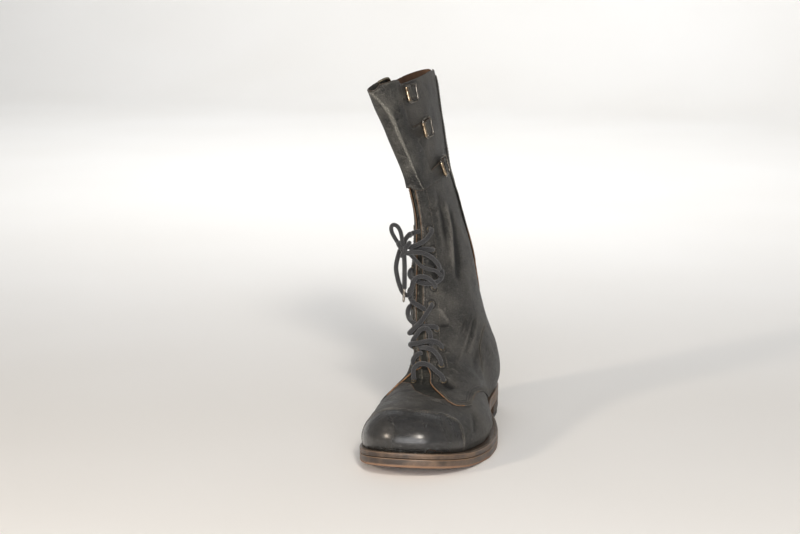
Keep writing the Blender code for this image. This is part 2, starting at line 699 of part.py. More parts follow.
def ring_tube(name, path, radius, look, sides=6):
    """A tube round a closed path."""
    path = np.asarray(path, float)
    ahead = np.roll(path, -1, axis=0) - np.roll(path, 1, axis=0)
    ahead /= np.linalg.norm(ahead, axis=1, keepdims=True)
    centre = path.mean(axis=0)
    plane = np.linalg.svd(path - centre)[2][2]
    points = []
    for p, direction in zip(path, ahead):
        side = np.cross(direction, plane)
        side /= np.linalg.norm(side)
        other = np.cross(direction, side)
        for k in range(sides):
            a = 2 * math.pi * (k + 0.5) / sides
            points.append(p + radius * (math.cos(a) * side + math.sin(a) * other))
    count = len(path)
    faces = [[i * sides + k, i * sides + (k + 1) % sides,
              (i + 1) % count * sides + (k + 1) % sides, (i + 1) % count * sides + k]
             for i in range(count) for k in range(sides)]
    return add_object(name, points, faces, look)


def hollow_roller(name, ends, sides=10):
    """The sleeve that turns on the buckle's front bar."""
    a, b = ends
    axis = (b - a) / np.linalg.norm(b - a)
    side = np.cross(axis, (0.2, 0.1, 0.97))
    side /= np.linalg.norm(side)
    other = np.cross(axis, side)
    points = []
    for end, radius in ((a, ROLLER_RADIUS), (b, ROLLER_RADIUS), (b, WIRE + 0.3), (a, WIRE + 0.3)):
        for k in range(sides):
            angle = 2 * math.pi * k / sides
            points.append(end + radius * (math.cos(angle) * side + math.sin(angle) * other))
    faces = [[i * sides + k, i * sides + (k + 1) % sides,
              (i + 1) % 4 * sides + (k + 1) % sides, (i + 1) % 4 * sides + k]
             for i in range(4) for k in range(sides)]
    return add_object(name, points, faces, BRASS)


# ------------------------------------------------------------------ sole ----
#               y    how far the welt stands out from the upper
WELT_WIDTH = ((-260, 7.5), (-180, 7.0), (-130, 6.5), (-85, 5.0), (-40, 3.4), (40, 3.0))
WELT_INNER_LESS = 2.6     # it is narrower along the inner side of the forefoot
WELT_GAP = 0.5            # under the feather edge
PLATE_GAP = 0.45
BREAST_CURVE = 3.0


def sole_outline(surface, count=24):
    """Plan of welt and sole outside the feather edge, from v = -1 to v = 1."""
    share = np.linspace(0, 1, count)
    v = np.concatenate([-share[:0:-1], share])
    edge = surface.at(0 * v, v)
    along = surface.at(0 * v, v + 0.01) - surface.at(0 * v, v - 0.01)
    outward = np.stack([along[:, 1], -along[:, 0]], 1)
    outward /= np.linalg.norm(outward, axis=1, keepdims=True)
    inner_forefoot = smooth((-v - 0.06) / 0.1) * smooth((-60 - edge[:, 1]) / 60)
    width = table(WELT_WIDTH, edge[:, 1]) - WELT_INNER_LESS * inner_forefoot
    return edge[:, :2] + outward * width[:, None]


def plate_rings(outline, levels):
    """Rings of the outline at depths under the feather line, each pulled in a little."""
    along = np.roll(outline, -1, axis=0) - np.roll(outline, 1, axis=0)
    inward = np.stack([-along[:, 1], along[:, 0]], 1)
    inward /= np.linalg.norm(inward, axis=1, keepdims=True)
    return [np.column_stack([outline + inward * pull, table(FEATHER, outline[:, 1]) - depth])
            for depth, pull in levels]


def make_sole(surface):
    """The welt with its midsole, and the outsole under it."""
    outline = sole_outline(surface)[1:]
    toe = len(outline) // 2 - 1
    welt_foot = WELT_GAP + WELT
    welt = plate_rings(outline, ((welt_foot, 0.2), (WELT_GAP + 1.2, 0), (WELT_GAP, 0.7)))
    slab("welt", welt, toe, SOLE_LEATHER)
    outsole = plate_rings(outline, ((FLAT, 1.2), (FLAT - 1.6, 0), (welt_foot + PLATE_GAP, 0.2)))
    slab("outsole", outsole, toe, SOLE_LEATHER)


def heel_plan(surface):
    """The sole's outline behind the breast, the breast's hollow curve, and its middle point."""
    outline = sole_outline(surface, 40)[1:]
    half = len(outline) // 2
    inner = outline[:half][outline[:half, 1] > HEEL_BREAST_Y]
    outer = outline[half:][outline[half:, 1] > HEEL_BREAST_Y]
    across = np.linspace(-1, 1, 9)[1:-1, None]
    a, b = inner[-1], outer[0]
    breast = (a + b) / 2 + (b - a) / 2 * across + np.array([0, BREAST_CURVE]) * (1 - across**2)
    return np.concatenate([inner, breast, outer]), len(inner) + len(breast) // 2


def make_heel(surface):
    """The stack of leather lifts, and the rubber lift on the ground."""
    plan, front = heel_plan(surface)
    middle = plan.mean(axis=0)

    def ring(share, z):
        points = middle + (plan - middle) * share
        return np.column_stack([points, z + 0 * points[:, 0]])

    seat = table(FEATHER, middle[1] + (plan[:, 1] - middle[1])) - FLAT - PLATE_GAP
    slab("heel_stack", [ring(0.985, TOP_PIECE + PLATE_GAP), ring(0.995, seat)], front, SOLE_LEATHER)
    top_piece = [ring(0.965, 0.0), ring(0.980, 1.0), ring(0.985, TOP_PIECE)]
    slab("heel_top_piece", top_piece, front, HEEL_RUBBER)


INSOLE = 2.6
INSOLE_CLEAR = 1.3


def make_insole(surface):
    """A plate inside the upper's feather edge."""
    v = upper_grid(surface)[1][0, 1:]
    plan = surface.at(0 * v, v, -(WALL + INSOLE_CLEAR))[:, :2]
    floor = table(FEATHER, plan[:, 1])
    rings = [np.column_stack([plan, floor]), np.column_stack([plan, floor + INSOLE])]
    slab("insole", rings, len(plan) // 2 - 1, BROWN_LEATHER)


# ----------------------------------------------------------------- lacing ----
EYELET_ROWS = (0.312, 0.417, 0.500, 0.560, 0.612, 0.652, 0.687, 0.724, 0.762)
EYELET_ASIDE = 12.0       # from the front ridge
#                  radius  lift
EYELET_SECTION = ((3.7, 0.7), (3.7, 1.2), (2.1, 1.5), (2.1, 0.7))
LACE = 4.6                # the round lace's diameter


def eyelet_places(surface):
    """(t, v) of each row's eyelet on the outer side; the inner side mirrors v."""
    return [(t, EYELET_ASIDE / float(surface.girth(t))) for t in EYELET_ROWS]


def make_eyelets(surface):
    """Flat brass rings, a row down each facing."""
    sides = 8
    angle = np.linspace(0, 2 * math.pi, sides, endpoint=False)
    for row, (t0, v0) in enumerate(eyelet_places(surface)):
        for side, label in ((-1, "inner"), (1, "outer")):
            rings = [surface.patch(t0, side * v0, r * np.cos(angle), r * np.sin(angle), lift + 0 * angle)
                     for r, lift in EYELET_SECTION]
            points = np.concatenate(rings)
            faces = [[i * sides + k, i * sides + (k + 1) % sides,
                      (i + 1) % 4 * sides + (k + 1) % sides, (i + 1) % 4 * sides + k]
                     for i in range(4) for k in range(sides)]
            add_object(f"eyelet_{label}_{row + 1}", points, faces, BRASS)


STRAND_LIFT = 4.1         # of a strand's middle line over the eyelets
STRAND_ARCH = 1.4         # more, over the throat
STRAND_TRIM = 0.06        # share of a crossing strand left off at each end


def strand(surface, a, b, side):
    """A lace strand over the throat, from eyelet a on one side to eyelet b on the other."""
    trim = STRAND_TRIM if a[0] != b[0] else 0.0
    share = np.linspace(trim, 1 - trim, 8)
    t = a[0] + (b[0] - a[0]) * share
    v = side * (-a[1] + (a[1] + b[1]) * share)
    return surface.at(t, v, STRAND_LIFT + STRAND_ARCH * np.sin(math.pi * share))


CROSSED_ROWS = ((1, 2), (3, 4))


def make_lacing(surface):
    """A straight bar at the lowest eyelets and crossings above it."""
    places = eyelet_places(surface)
    tube("lace_bar", strand(surface, places[0], places[0], 1), LACE / 2, LACE_CLOTH)
    for low, high in CROSSED_ROWS:
        a, b = places[low], places[high]
        one = tube(f"lace_crossing_{low + 1}_{high + 1}", strand(surface, a, b, 1), LACE / 2, LACE_CLOTH)
        join_solids(one, tube("second", strand(surface, a, b, -1), LACE / 2, LACE_CLOTH))


# Loose lace runs, placed by hand. Each goes from an eyelet or from the knot.
TOP_RUN = ((-19.0, -84.5, 193.0), (-22.0, -89, 189.3), (-27.0, -94, 186.4), (-33.0, -97.5, 184.0),
           (-38.5, -99, 183.5), (-41.0, -98.5, 186.0), (-40.0, -97, 190.0), (-37.5, -94, 194.0))
RUN = ((-33.5, -101.5, 180.0), (-27.5, -99, 179.0), (-20.5, -95, 176.5), (-15.6, -91, 172.0))
LOOP = ((-45.0, -99, 184.5), (-49.6, -101, 192.6), (-52.8, -103, 200.9), (-52.4, -104, 205.0),
        (-49.6, -105, 206.8), (-46.0, -105, 204.9), (-42.8, -105, 199.1), (-42.2, -105, 192.5),
        (-42.1, -105, 189.5))
STRAIGHT_END = ((-39.6, -104.5, 178.5), (-38.8, -106.5, 170.1), (-38.4, -108, 157.6), (-38.2, -109.5, 146.0))
AGLET = ((-38.2, -109.9, 145.2), (-38.6, -111.4, 132.8))
SLACK = ((-45.3, -99.5, 178.0), (-47.6, -100.5, 170.5), (-48.2, -102, 163.8), (-46.7, -103, 155.0),
         (-44.0, -103.5, 146.0), (-40.5, -104, 139.0), (-35.5, -104.5, 137.5), (-32.0, -104.5, 143.0),
         (-31.5, -103.5, 150.0), (-27.5, -102, 154.0), (-21.0, -99.5, 154.0), (-15.5, -94.0, 149.5))
AGLET_RADIUS = 1.5


def make_bow(surface):
    """The top row's lace with its knot, the loop, the ends and the loose runs."""
    places = eyelet_places(surface)

    def over_eyelet(row, side):
        t, v = places[row]
        return surface.at(t, side * v, STRAND_LIFT)

    cord("lace_knot", [over_eyelet(8, 1), *TOP_RUN, over_eyelet(8, -1)], LACE, LACE_CLOTH)
    cord("lace_run", [*RUN, over_eyelet(6, 1)], LACE, LACE_CLOTH)
    cord("lace_loop", LOOP, LACE, LACE_CLOTH)
    cord("lace_end", STRAIGHT_END, LACE, LACE_CLOTH)
    cord("lace_slack", [*SLACK, over_eyelet(5, 1)], LACE, LACE_CLOTH)
    tube("lace_aglet", AGLET, AGLET_RADIUS, STEEL, sides=8)


def main():
    for obj in list(bpy.data.objects):
        bpy.data.objects.remove(obj)
    surface = Surface()
    make_upper(surface)
    make_tongue(surface)
    make_toe_cap(surface)
    make_backstay(surface)
    make_insole(surface)
    make_sole(surface)
    make_heel(surface)
    make_flap(surface)
    for k, (t0, v0, _) in enumerate(BUCKLES):
        make_chape(surface, k, t0, v0)
        make_buckle(surface, k, t0, v0)
    make_eyelets(surface)
    make_lacing(surface)
    make_bow(surface)


main()
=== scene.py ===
# %% [markdown]
# # A laced motorcycle boot
# This lesson builds one tall leather boot for the left foot. The measured model of
# the boot is loaded first and stays fixed: it says how large everything is and where
# it goes. Each step then puts a more finished piece in the place of a plain one.
# Sizes are written in millimetres, and a mesh gets its metres when it is made.

# %% Load the measured model
import functools
import math

import bmesh
import bpy
import numpy as np
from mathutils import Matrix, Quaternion, Vector


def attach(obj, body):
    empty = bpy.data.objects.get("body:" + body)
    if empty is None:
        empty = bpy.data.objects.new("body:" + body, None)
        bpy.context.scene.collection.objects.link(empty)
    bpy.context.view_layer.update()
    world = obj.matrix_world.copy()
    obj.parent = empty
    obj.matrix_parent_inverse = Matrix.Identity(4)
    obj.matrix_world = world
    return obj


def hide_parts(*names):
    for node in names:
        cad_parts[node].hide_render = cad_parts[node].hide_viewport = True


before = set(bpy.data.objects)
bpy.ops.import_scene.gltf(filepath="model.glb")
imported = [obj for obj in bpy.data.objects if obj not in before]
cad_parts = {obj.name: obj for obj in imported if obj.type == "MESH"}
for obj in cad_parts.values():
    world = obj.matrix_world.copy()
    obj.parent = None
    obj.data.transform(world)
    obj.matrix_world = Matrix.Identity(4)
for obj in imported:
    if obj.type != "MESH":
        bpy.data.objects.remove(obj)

bpy.context.view_layer.update()
MM = 0.001

# %% [markdown]
# ## Camera, floor and light
# A tall, narrow object looks natural through a long lens from about two metres, a
# little above it. Black leather shows mostly what it reflects, so the light matters
# more than usual: two warm lamps stand where their mirror images fall on the toe as a
# pair of bright spots, and a wide one low in front lights the shaft. The floor curves
# up into the backdrop, so that there is no hard line behind the boot.

# %% Camera
def look_along(heading, down):
    """The turn that points a camera or lamp along a heading, tipped down by some degrees."""
    flat, drop = math.cos(math.radians(down)), math.sin(math.radians(down))
    ahead = Vector((heading[0], heading[1], 0)).normalized() * flat - Vector((0, 0, drop))
    return ahead.to_track_quat("-Z", "Y")


camera = bpy.data.objects.new("camera", bpy.data.cameras.new("camera"))
camera.data.lens, camera.data.sensor_width = 91.6, 36.0
camera.location = (0.366, -1.9835, 0.537)
camera.rotation_mode = "QUATERNION"
camera.rotation_quaternion = look_along((-0.213, 0.977), 10.95)
bpy.context.scene.collection.objects.link(camera)
bpy.context.scene.camera = camera
print("camera lens, mm:", camera.data.lens)

# %% Lamps and sky
bpy.context.scene.view_settings.view_transform = "Standard"
world = bpy.data.worlds.new("studio")
world.use_nodes = True
world.node_tree.nodes["Background"].inputs["Color"].default_value = (0.86, 0.92, 1.0, 1)
world.node_tree.nodes["Background"].inputs["Strength"].default_value = 0.17
bpy.context.scene.world = world

#         name     place                 size  watts  colour            aimed at
LAMPS = (("key", (0.6, -1.55, 1.27), 0.28, 17.0, (1.0, 0.92, 0.82), (0.0, -0.15, 0.12)),
         ("inner_lamp", (-1.22, -1.48, 0.85), 0.22, 11.0, (1.0, 0.86, 0.70), (-0.02, -0.2, 0.1)),
         ("front", (0.40, -2.3, 0.50), 2.0, 50.0, (0.98, 0.98, 1.0), (0.0, 0.0, 0.26)),
         ("backdrop", (-0.4, 1.3, 1.9), 2.2, 45.0, (1.0, 1.0, 1.0), (-0.4, 3.2, 0.2)))


def make_lamp(name, place, size, watts, colour, target):
    data = bpy.data.lights.new(name, "AREA")
    data.shape, data.size, data.energy, data.color = "DISK", size, watts, colour
    lamp = bpy.data.objects.new(name, data)
    lamp.location = place
    lamp.rotation_mode = "QUATERNION"
    lamp.rotation_quaternion = (Vector(target) - Vector(place)).to_track_quat("-Z", "Y")
    bpy.context.scene.collection.objects.link(lamp)
    return lamp


lamps = [make_lamp(*row) for row in LAMPS]
print("lamps:", [lamp.name for lamp in lamps])

# %% Node helpers for materials
def add(tree, kind, inputs=None, **settings):
    """A node, with its settings and its inputs. An input may be a value or another node's output."""
    made = tree.nodes.new(kind)
    for key, value in settings.items():
        setattr(made, key, value)
    for key, value in (inputs or {}).items():
        if isinstance(value, bpy.types.NodeSocket):
            tree.links.new(value, made.inputs[key])
        else:
            made.inputs[key].default_value = value
    return made


def output(*parts, **settings):
    """The first output of such a node, which is what most nodes are made for."""
    return add(*parts, **settings).outputs[0]


def new_material(name, roughness=0.5, metallic=0.0):
    """A material with its shader and Object coordinates."""
    mat = bpy.data.materials.new(name)
    mat.use_nodes = True
    shader = mat.node_tree.nodes["Principled BSDF"]
    shader.inputs["Roughness"].default_value = roughness
    shader.inputs["Metallic"].default_value = metallic
    return mat, shader, add(mat.node_tree, "ShaderNodeTexCoord").outputs["Object"]


# A socket's id_data is the tree that it belongs to, so these helpers need no tree of their own
def noise(place, scale, detail=3.0, rough=0.55):
    inputs = {"Vector": place, "Scale": scale, "Detail": detail, "Roughness": rough}
    return output(place.id_data, "ShaderNodeTexNoise", inputs)


def spread(value, low, high, to_low=0.0, to_high=1.0):
    """A value's range mapped to another one, without going past its ends."""
    inputs = {"Value": value, "From Min": low, "From Max": high, "To Min": to_low, "To Max": to_high}
    return output(value.id_data, "ShaderNodeMapRange", inputs)


def combine(operation, a, b=0.0):
    return output(a.id_data, "ShaderNodeMath", {0: a, 1: b}, operation=operation)


plus, times, larger = (functools.partial(combine, operation) for operation in ("ADD", "MULTIPLY", "MAXIMUM"))


def mix(share, a, b):
    """Colour a where share is 0 and colour b where it is 1."""
    a, b = (c if isinstance(c, bpy.types.NodeSocket) else (*c, 1.0) for c in (a, b))
    return add(share.id_data, "ShaderNodeMix", {0: share, 6: a, 7: b}, data_type="RGBA").outputs[2]


def bump(shader, *layers):
    """Heights stacked into one normal. Each layer is (height, depth in metres, strength)."""
    normal = None
    for height, distance, strength in layers:
        inputs = {"Height": height, "Distance": distance, "Strength": strength}
        if normal:
            inputs["Normal"] = normal
        normal = output(shader.id_data, "ShaderNodeBump", inputs)
    shader.id_data.links.new(normal, shader.inputs["Normal"])


def paint(shader, colour, roughness=None):
    shader.id_data.links.new(colour, shader.inputs["Base Color"])
    if roughness:
        shader.id_data.links.new(roughness, shader.inputs["Roughness"])


def show(name, mesh):
    """Puts a mesh into the scene as an object at the origin."""
    obj = bpy.data.objects.new(name, mesh)
    bpy.context.scene.collection.objects.link(obj)
    return obj


# %% Floor and backdrop
def make_studio():
    """A sheet that lies flat in front and curves up behind."""
    start, radius, wall, reach = 2.6, 0.8, 2.6, 5.0
    bend = [(start + radius * math.sin(a), radius - radius * math.cos(a))
            for a in np.linspace(0, math.pi / 2, 17)]
    profile = [(-reach, 0.0), (-1.2, 0.0), (0.0, 0.0), *bend, (start + radius, wall)]
    points = [(x, y, z) for x in (-reach, reach) for y, z in profile]
    n = len(profile)
    mesh = bpy.data.meshes.new("studio_floor")
    mesh.from_pydata(points, [], [(i, n + i, n + i + 1, i + 1) for i in range(n - 1)])
    mesh.shade_smooth()
    mat, shader, place = new_material("studio_cloth", 0.9)
    cloudy = noise(place, 1.6, 2.0)
    weave = noise(place, 420.0, 2.0)
    paint(shader, mix(spread(cloudy, 0.3, 0.7), (0.88, 0.865, 0.835), (0.92, 0.91, 0.89)))
    bump(shader, (weave, 0.0002, 0.2))
    mesh.materials.append(mat)
    show("studio_floor", mesh)


make_studio()

# %% [markdown]
# ## The boot's shape
# Every piece of this boot is leather pulled over one last, so the whole upper is one
# surface. It is cut into levels, like the slices that a pattern maker draws: level 0
# is the feather edge above the welt and level 1 the collar. Each level is the
# outline of two solids melted together, one for the foot and one for the shaft.
# A place on the boot is then three numbers: the level t, the way round v (0 at the
# front ridge, -1 and 1 both at the back) and a lift off the surface. Pieces placed
# this way follow the boot's shape by themselves.

# %% Tables of the foot and the shaft
TOE_TIP_Y, HEEL_REACH_Y, BALL_Y = -253.0, 28.0, -168.0
BLEND = 0.34
TURN_CENTRE_Y = -30.0
LEVEL_BACK_Y, LEVEL_FRONT_Y = 35.0, -250.0

# Height of the feather edge: y, z
FEATHER = ((-260, 25.5), (-235, 20.5), (-205, 15.8), (-175, 13.8), (-125, 13.8), (-90, 17.5), (-55, 25.5),
    (-25, 29), (40, 29))
# The foot: y, x of its ridge, inner and outer half-widths, height
FOOT = ((-255, -12, 47.5, 60.5, 46), (-215, -11.5, 48, 61.5, 46), (-185, -11, 48.5, 63, 45.5),
    (-165, -10.5, 49.5, 65.5, 47.5), (-147, -10, 48, 65.5, 52), (-128, -9.5, 40.5, 63.5, 66),
    (-110, -8.5, 32, 59.5, 88), (-95, -6, 27.5, 53, 100), (-70, -4, 27, 42, 108), (-30, 0, 31, 36.5, 98),
    (10, 0, 32.5, 35.5, 80))
# How full the foot's sides are: y, inner, outer
FULL = ((-200, 2.3, 2.28), (-165, 2.3, 2.28), (-147, 2.15, 2.1), (-130, 1.6, 1.75), (-113, 1.12, 1.45),
    (-98, 1.1, 1.35), (-75, 1.8, 1.5), (-30, 2.2, 2.2))
# The shaft: z, front, back, half-width, roundness
SHAFT = ((20, -70, 32, 33.5, 2.3), (45, -76, 36, 37.5, 2.3), (70, -82, 37, 35, 2.2),
    (95, -91, 34.5, 29.5, 2.1), (120, -98, 31.5, 27.5, 2), (150, -92, 29.5, 23.5, 2.1),
    (178, -87, 28.5, 18.8, 2.4), (208, -83, 28, 13.9, 2.7), (244, -81, 29, 11.6, 2.9),
    (290, -88, 31, 14.2, 2.9), (350, -97, 32, 16.7, 2.7))
# The slack shaft leans: z, shift, turn in degrees
LEAN = ((0, 0, 0), (55, 0, 0), (80, -4, 4), (100, -8.5, 8), (126, -13, 10.5), (151, -16, 10.5),
    (178, -19, 9.5), (209, -23.5, 8), (244, -32, 7.5), (290, -43, 9), (350, -56.5, 12))
# Height of each level at the toe and at the back: t, front, back
LEVELS = ((0, 24, 29), (0.1, 36, 44), (0.2, 48, 62), (0.3, 54, 80), (0.4, 55, 101), (0.5, 52, 130),
    (0.6, 66, 166), (0.7, 112, 206), (0.8, 172, 247), (0.9, 242, 293), (1, 319, 343))
# The throat, where the lacing is, starts at this level. Half its width: t, mm
THROAT_T = 0.315
THROAT = ((0, 4.8), (0.315, 4.8), (0.37, 4.8), (0.45, 4.2), (0.6, 3.4), (0.8, 2.4), (1, 3.2))


def curve(s, step, start, end, start_slope, end_slope):
    """A cubic from start to end that leaves and arrives with the slopes given."""
    return ((2 * s**3 - 3 * s**2 + 1) * start + (s**3 - 2 * s**2 + s) * step * start_slope
            + (3 * s**2 - 2 * s**3) * end + (s**3 - s**2) * step * end_slope)


def table(rows, x, column=1):
    """A smooth curve through a table's rows that never overshoots them."""
    rows = np.asarray(rows, float)
    xs, ys = rows[:, 0], rows[:, column]
    step = np.diff(xs)
    slope = np.diff(ys) / step
    tangent = np.zeros(len(xs))
    rising = slope[:-1] * slope[1:] > 0
    before, after = 2 * step[1:] + step[:-1], step[1:] + 2 * step[:-1]
    tangent[1:-1][rising] = ((before + after)[rising]) / (
        before[rising] / slope[:-1][rising] + after[rising] / slope[1:][rising])
    tangent[0], tangent[-1] = slope[0], slope[-1]
    x = np.clip(x, xs[0], xs[-1])
    i = np.clip(np.searchsorted(xs, x, side="right") - 1, 0, len(step) - 1)
    return curve((x - xs[i]) / step[i], step[i], ys[i], ys[i + 1], tangent[i], tangent[i + 1])


def smooth(s):
    """0 below 0, 1 above 1, and an S-curve between."""
    s = np.clip(s, 0.0, 1.0)
    return s * s * (3 - 2 * s)


def unit(vectors):
    return vectors / np.maximum(np.linalg.norm(vectors, axis=-1, keepdims=True), 1e-9)


# %% The two solids and their levels
def foot_gauge(x, y, z):
    """1 on the foot solid, less inside and more outside."""
    aside = x - table(FOOT, y, 1)
    half = np.where(aside < 0, table(FOOT, y, 2), table(FOOT, y, 3))
    ball = BALL_Y + 10 * np.tanh(aside / 25)
    rise = z - table(FEATHER, y)
    tuck = 0.055 * np.clip(1 - rise / 13, 0, 1)**2
    ahead = np.maximum(ball - y, 0) / (ball - TOE_TIP_Y)
    behind = np.maximum(y + 50, 0) / (50 + HEEL_REACH_Y)
    plan = ((np.abs(aside) / (half * (1 - tuck)))**2.45
            + (ahead / (1 - tuck / 2) + behind)**2.45)**(1 / 2.45)
    full = np.where(aside < 0, table(FULL, y, 1), table(FULL, y, 2))
    return (plan**full + (np.clip(rise, 0, None) / table(FOOT, y, 4))**full)**(1 / full)


def shaft_gauge(x, y, z):
    """1 on the straight shaft solid, less inside and more outside."""
    front, back = table(SHAFT, z, 1), table(SHAFT, z, 2)
    along = (y - (front + back) / 2) / ((back - front) / 2)
    high = smooth((z - 150) / 60)
    half = table(SHAFT, z, 3) * (1 - (0.10 + 0.22 * high) * np.clip(-along, 0, 1)
                                 - 0.10 * high * np.clip(along, 0, 1))
    power = table(SHAFT, z, 4)
    power = np.where(along < 0, power, np.minimum(power, 2.3))
    tuck = 1 - 0.07 * np.clip(1 - (z - table(FEATHER, y)) / 14, 0, 1)**2
    return ((np.abs(x) / (half * tuck))**power + (np.abs(along) / tuck)**power)**(1 / power)


def gauge(x, y, z):
    """Foot and shaft melted together: 1 on the boot's outer surface."""
    foot, shaft = foot_gauge(x, y, z), shaft_gauge(x, y, z)
    melt = np.maximum(BLEND - np.abs(foot - shaft), 0)**2 / (4 * BLEND)
    return np.minimum(foot, shaft) - melt


def level_height(t, y):
    """Height of level t at y. Low levels follow the feather edge."""
    low, high = table(LEVELS, t, 1), table(LEVELS, t, 2)
    along = (y - LEVEL_FRONT_Y) / (LEVEL_BACK_Y - LEVEL_FRONT_Y)
    straight = LEVELS[0][1] + (LEVELS[0][2] - LEVELS[0][1]) * along
    return low + (high - low) * along + (table(FEATHER, y) - straight) * (1 - smooth(t / 0.22))


def spine_x(y, z):
    """The middle of the outline: the foot's ridge low down, the shaft's middle above."""
    return table(FOOT, y, 1) * (1 - smooth((z - 90) / 60))


def bisect(inside, outside, is_outside, steps=26):
    """Where is_outside turns true between two sets of distances."""
    for _ in range(steps):
        middle = (inside + outside) / 2
        out = is_outside(middle)
        inside, outside = np.where(out, inside, middle), np.where(out, middle, outside)
    return (inside + outside) / 2


def level_front(t):
    """y where each level leaves the solid at the front."""
    def outside(level, y):
        z = level_height(level, y)
        return gauge(spine_x(y, z), y, z) > 1

    marks = np.linspace(-20, TOE_TIP_Y - 8, 220)
    first = np.argmax(outside(t[:, None], marks[None, :]), axis=1)
    return bisect(marks[first - 1], marks[first], lambda y: outside(t, y))


def lean(points):
    """The straight shape's points, moved to where the slack boot holds them."""
    x, y, z = np.moveaxis(points, -1, 0)
    turn = np.radians(table(LEAN, z, 2))
    ahead = y - TURN_CENTRE_Y
    return np.stack([x * np.cos(turn) + ahead * np.sin(turn) + table(LEAN, z, 1),
                     ahead * np.cos(turn) - x * np.sin(turn) + TURN_CENTRE_Y, z], -1)


def straighten(points):
    """The opposite of lean."""
    x, y, z = np.moveaxis(points, -1, 0)
    turn = np.radians(table(LEAN, z, 2))
    aside, ahead = x - table(LEAN, z, 1), y - TURN_CENTRE_Y
    return (aside * np.cos(turn) - ahead * np.sin(turn),
            aside * np.sin(turn) + ahead * np.cos(turn) + TURN_CENTRE_Y, z)


def onto_surface(points, passes=7, step=0.05):
    """Moves points straight on or off the solid until they lie on its surface."""
    value = lambda p: gauge(*straighten(p))
    for _ in range(passes):
        slope = np.stack([(value(points + way) - value(points - way)) / (2 * step)
                          for way in np.eye(3) * step], -1)
        points = points - ((value(points) - 1) / (slope**2).sum(-1))[..., None] * slope
    return points


def outline_points(t, count, rays=300):
    """Points of each level, from v = -1 to v = 1. Rays leave a spine inside the outline."""
    front = level_front(t)
    rear_y = -2.0
    front_y = np.minimum(front + np.clip((rear_y - front) * 0.45, 25, 58), rear_y - 4)[:, None]
    start_x = spine_x(front_y, level_height(t[:, None], front_y))
    s = np.linspace(0, 3, rays)[None, :]
    comb = np.clip(s - 1, 0, 1)
    angle = (np.clip(s, 0, 1) + np.clip(s - 2, 0, 1)) * math.pi / 2
    y0 = front_y + (rear_y - front_y) * comb
    x0 = start_x * (1 - comb)
    t_of = t[:, None] + 0 * y0
    sides = []
    for side in (-1, 1):
        def at(reach):
            x, y = x0 + reach * side * np.sin(angle), y0 - reach * np.cos(angle)
            return x, y, level_height(t_of, y)

        reach = bisect(0 * y0, 0 * y0 + 130, lambda far: gauge(*at(far)) > 1)
        points = lean(np.stack(at(reach), -1))
        length = np.cumsum(np.linalg.norm(np.diff(points, axis=1, prepend=points[:, :1]), axis=2), 1)
        even = np.linspace(0, 1, count)[None, :] * length[:, -1:]
        sides.append(np.stack([[np.interp(e, l, p[:, k]) for e, l, p in zip(even, length, points)]
                               for k in range(3)], -1))
    inner, outer = sides
    return np.concatenate([inner[:, ::-1], outer[:, 1:]], 1)


def box_filter(field, width):
    """A light running mean down the levels that takes out the kinks between table rows."""
    padded = np.concatenate([field[:1]] * width + [field] + [field[-1:]] * width)
    sums = np.cumsum(np.concatenate([0 * padded[:1], padded]), axis=0)
    return (sums[2 * width + 1:] - sums[:-2 * width - 1]) / (2 * width + 1)


# %% The surface, read anywhere
def catmull(points, length, even):
    """A smooth curve through points, read at distances along them."""
    tangent = np.gradient(points, length, axis=0)
    i = np.clip(np.searchsorted(length, even, side="right") - 1, 0, len(points) - 2)
    step = (length[i + 1] - length[i])[:, None]
    s = (even - length[i])[:, None] / step
    return curve(s, step, points[i], points[i + 1], tangent[i], tangent[i + 1])


def travelled(points):
    """The distance along a line at each of its points."""
    return np.concatenate([[0], np.cumsum(np.linalg.norm(np.diff(points, axis=0), axis=1))])


def smooth_line(points, step):
    """Points a step apart on one smooth curve through the given ones."""
    points = np.asarray(points, float)
    length = travelled(points)
    return catmull(points, length, np.linspace(0, length[-1], max(3, round(length[-1] / step) + 1)))


# Levels between these two run along the flat of the instep, so rows are spread evenly over it instead
INSTEP = (0.19, 0.304)


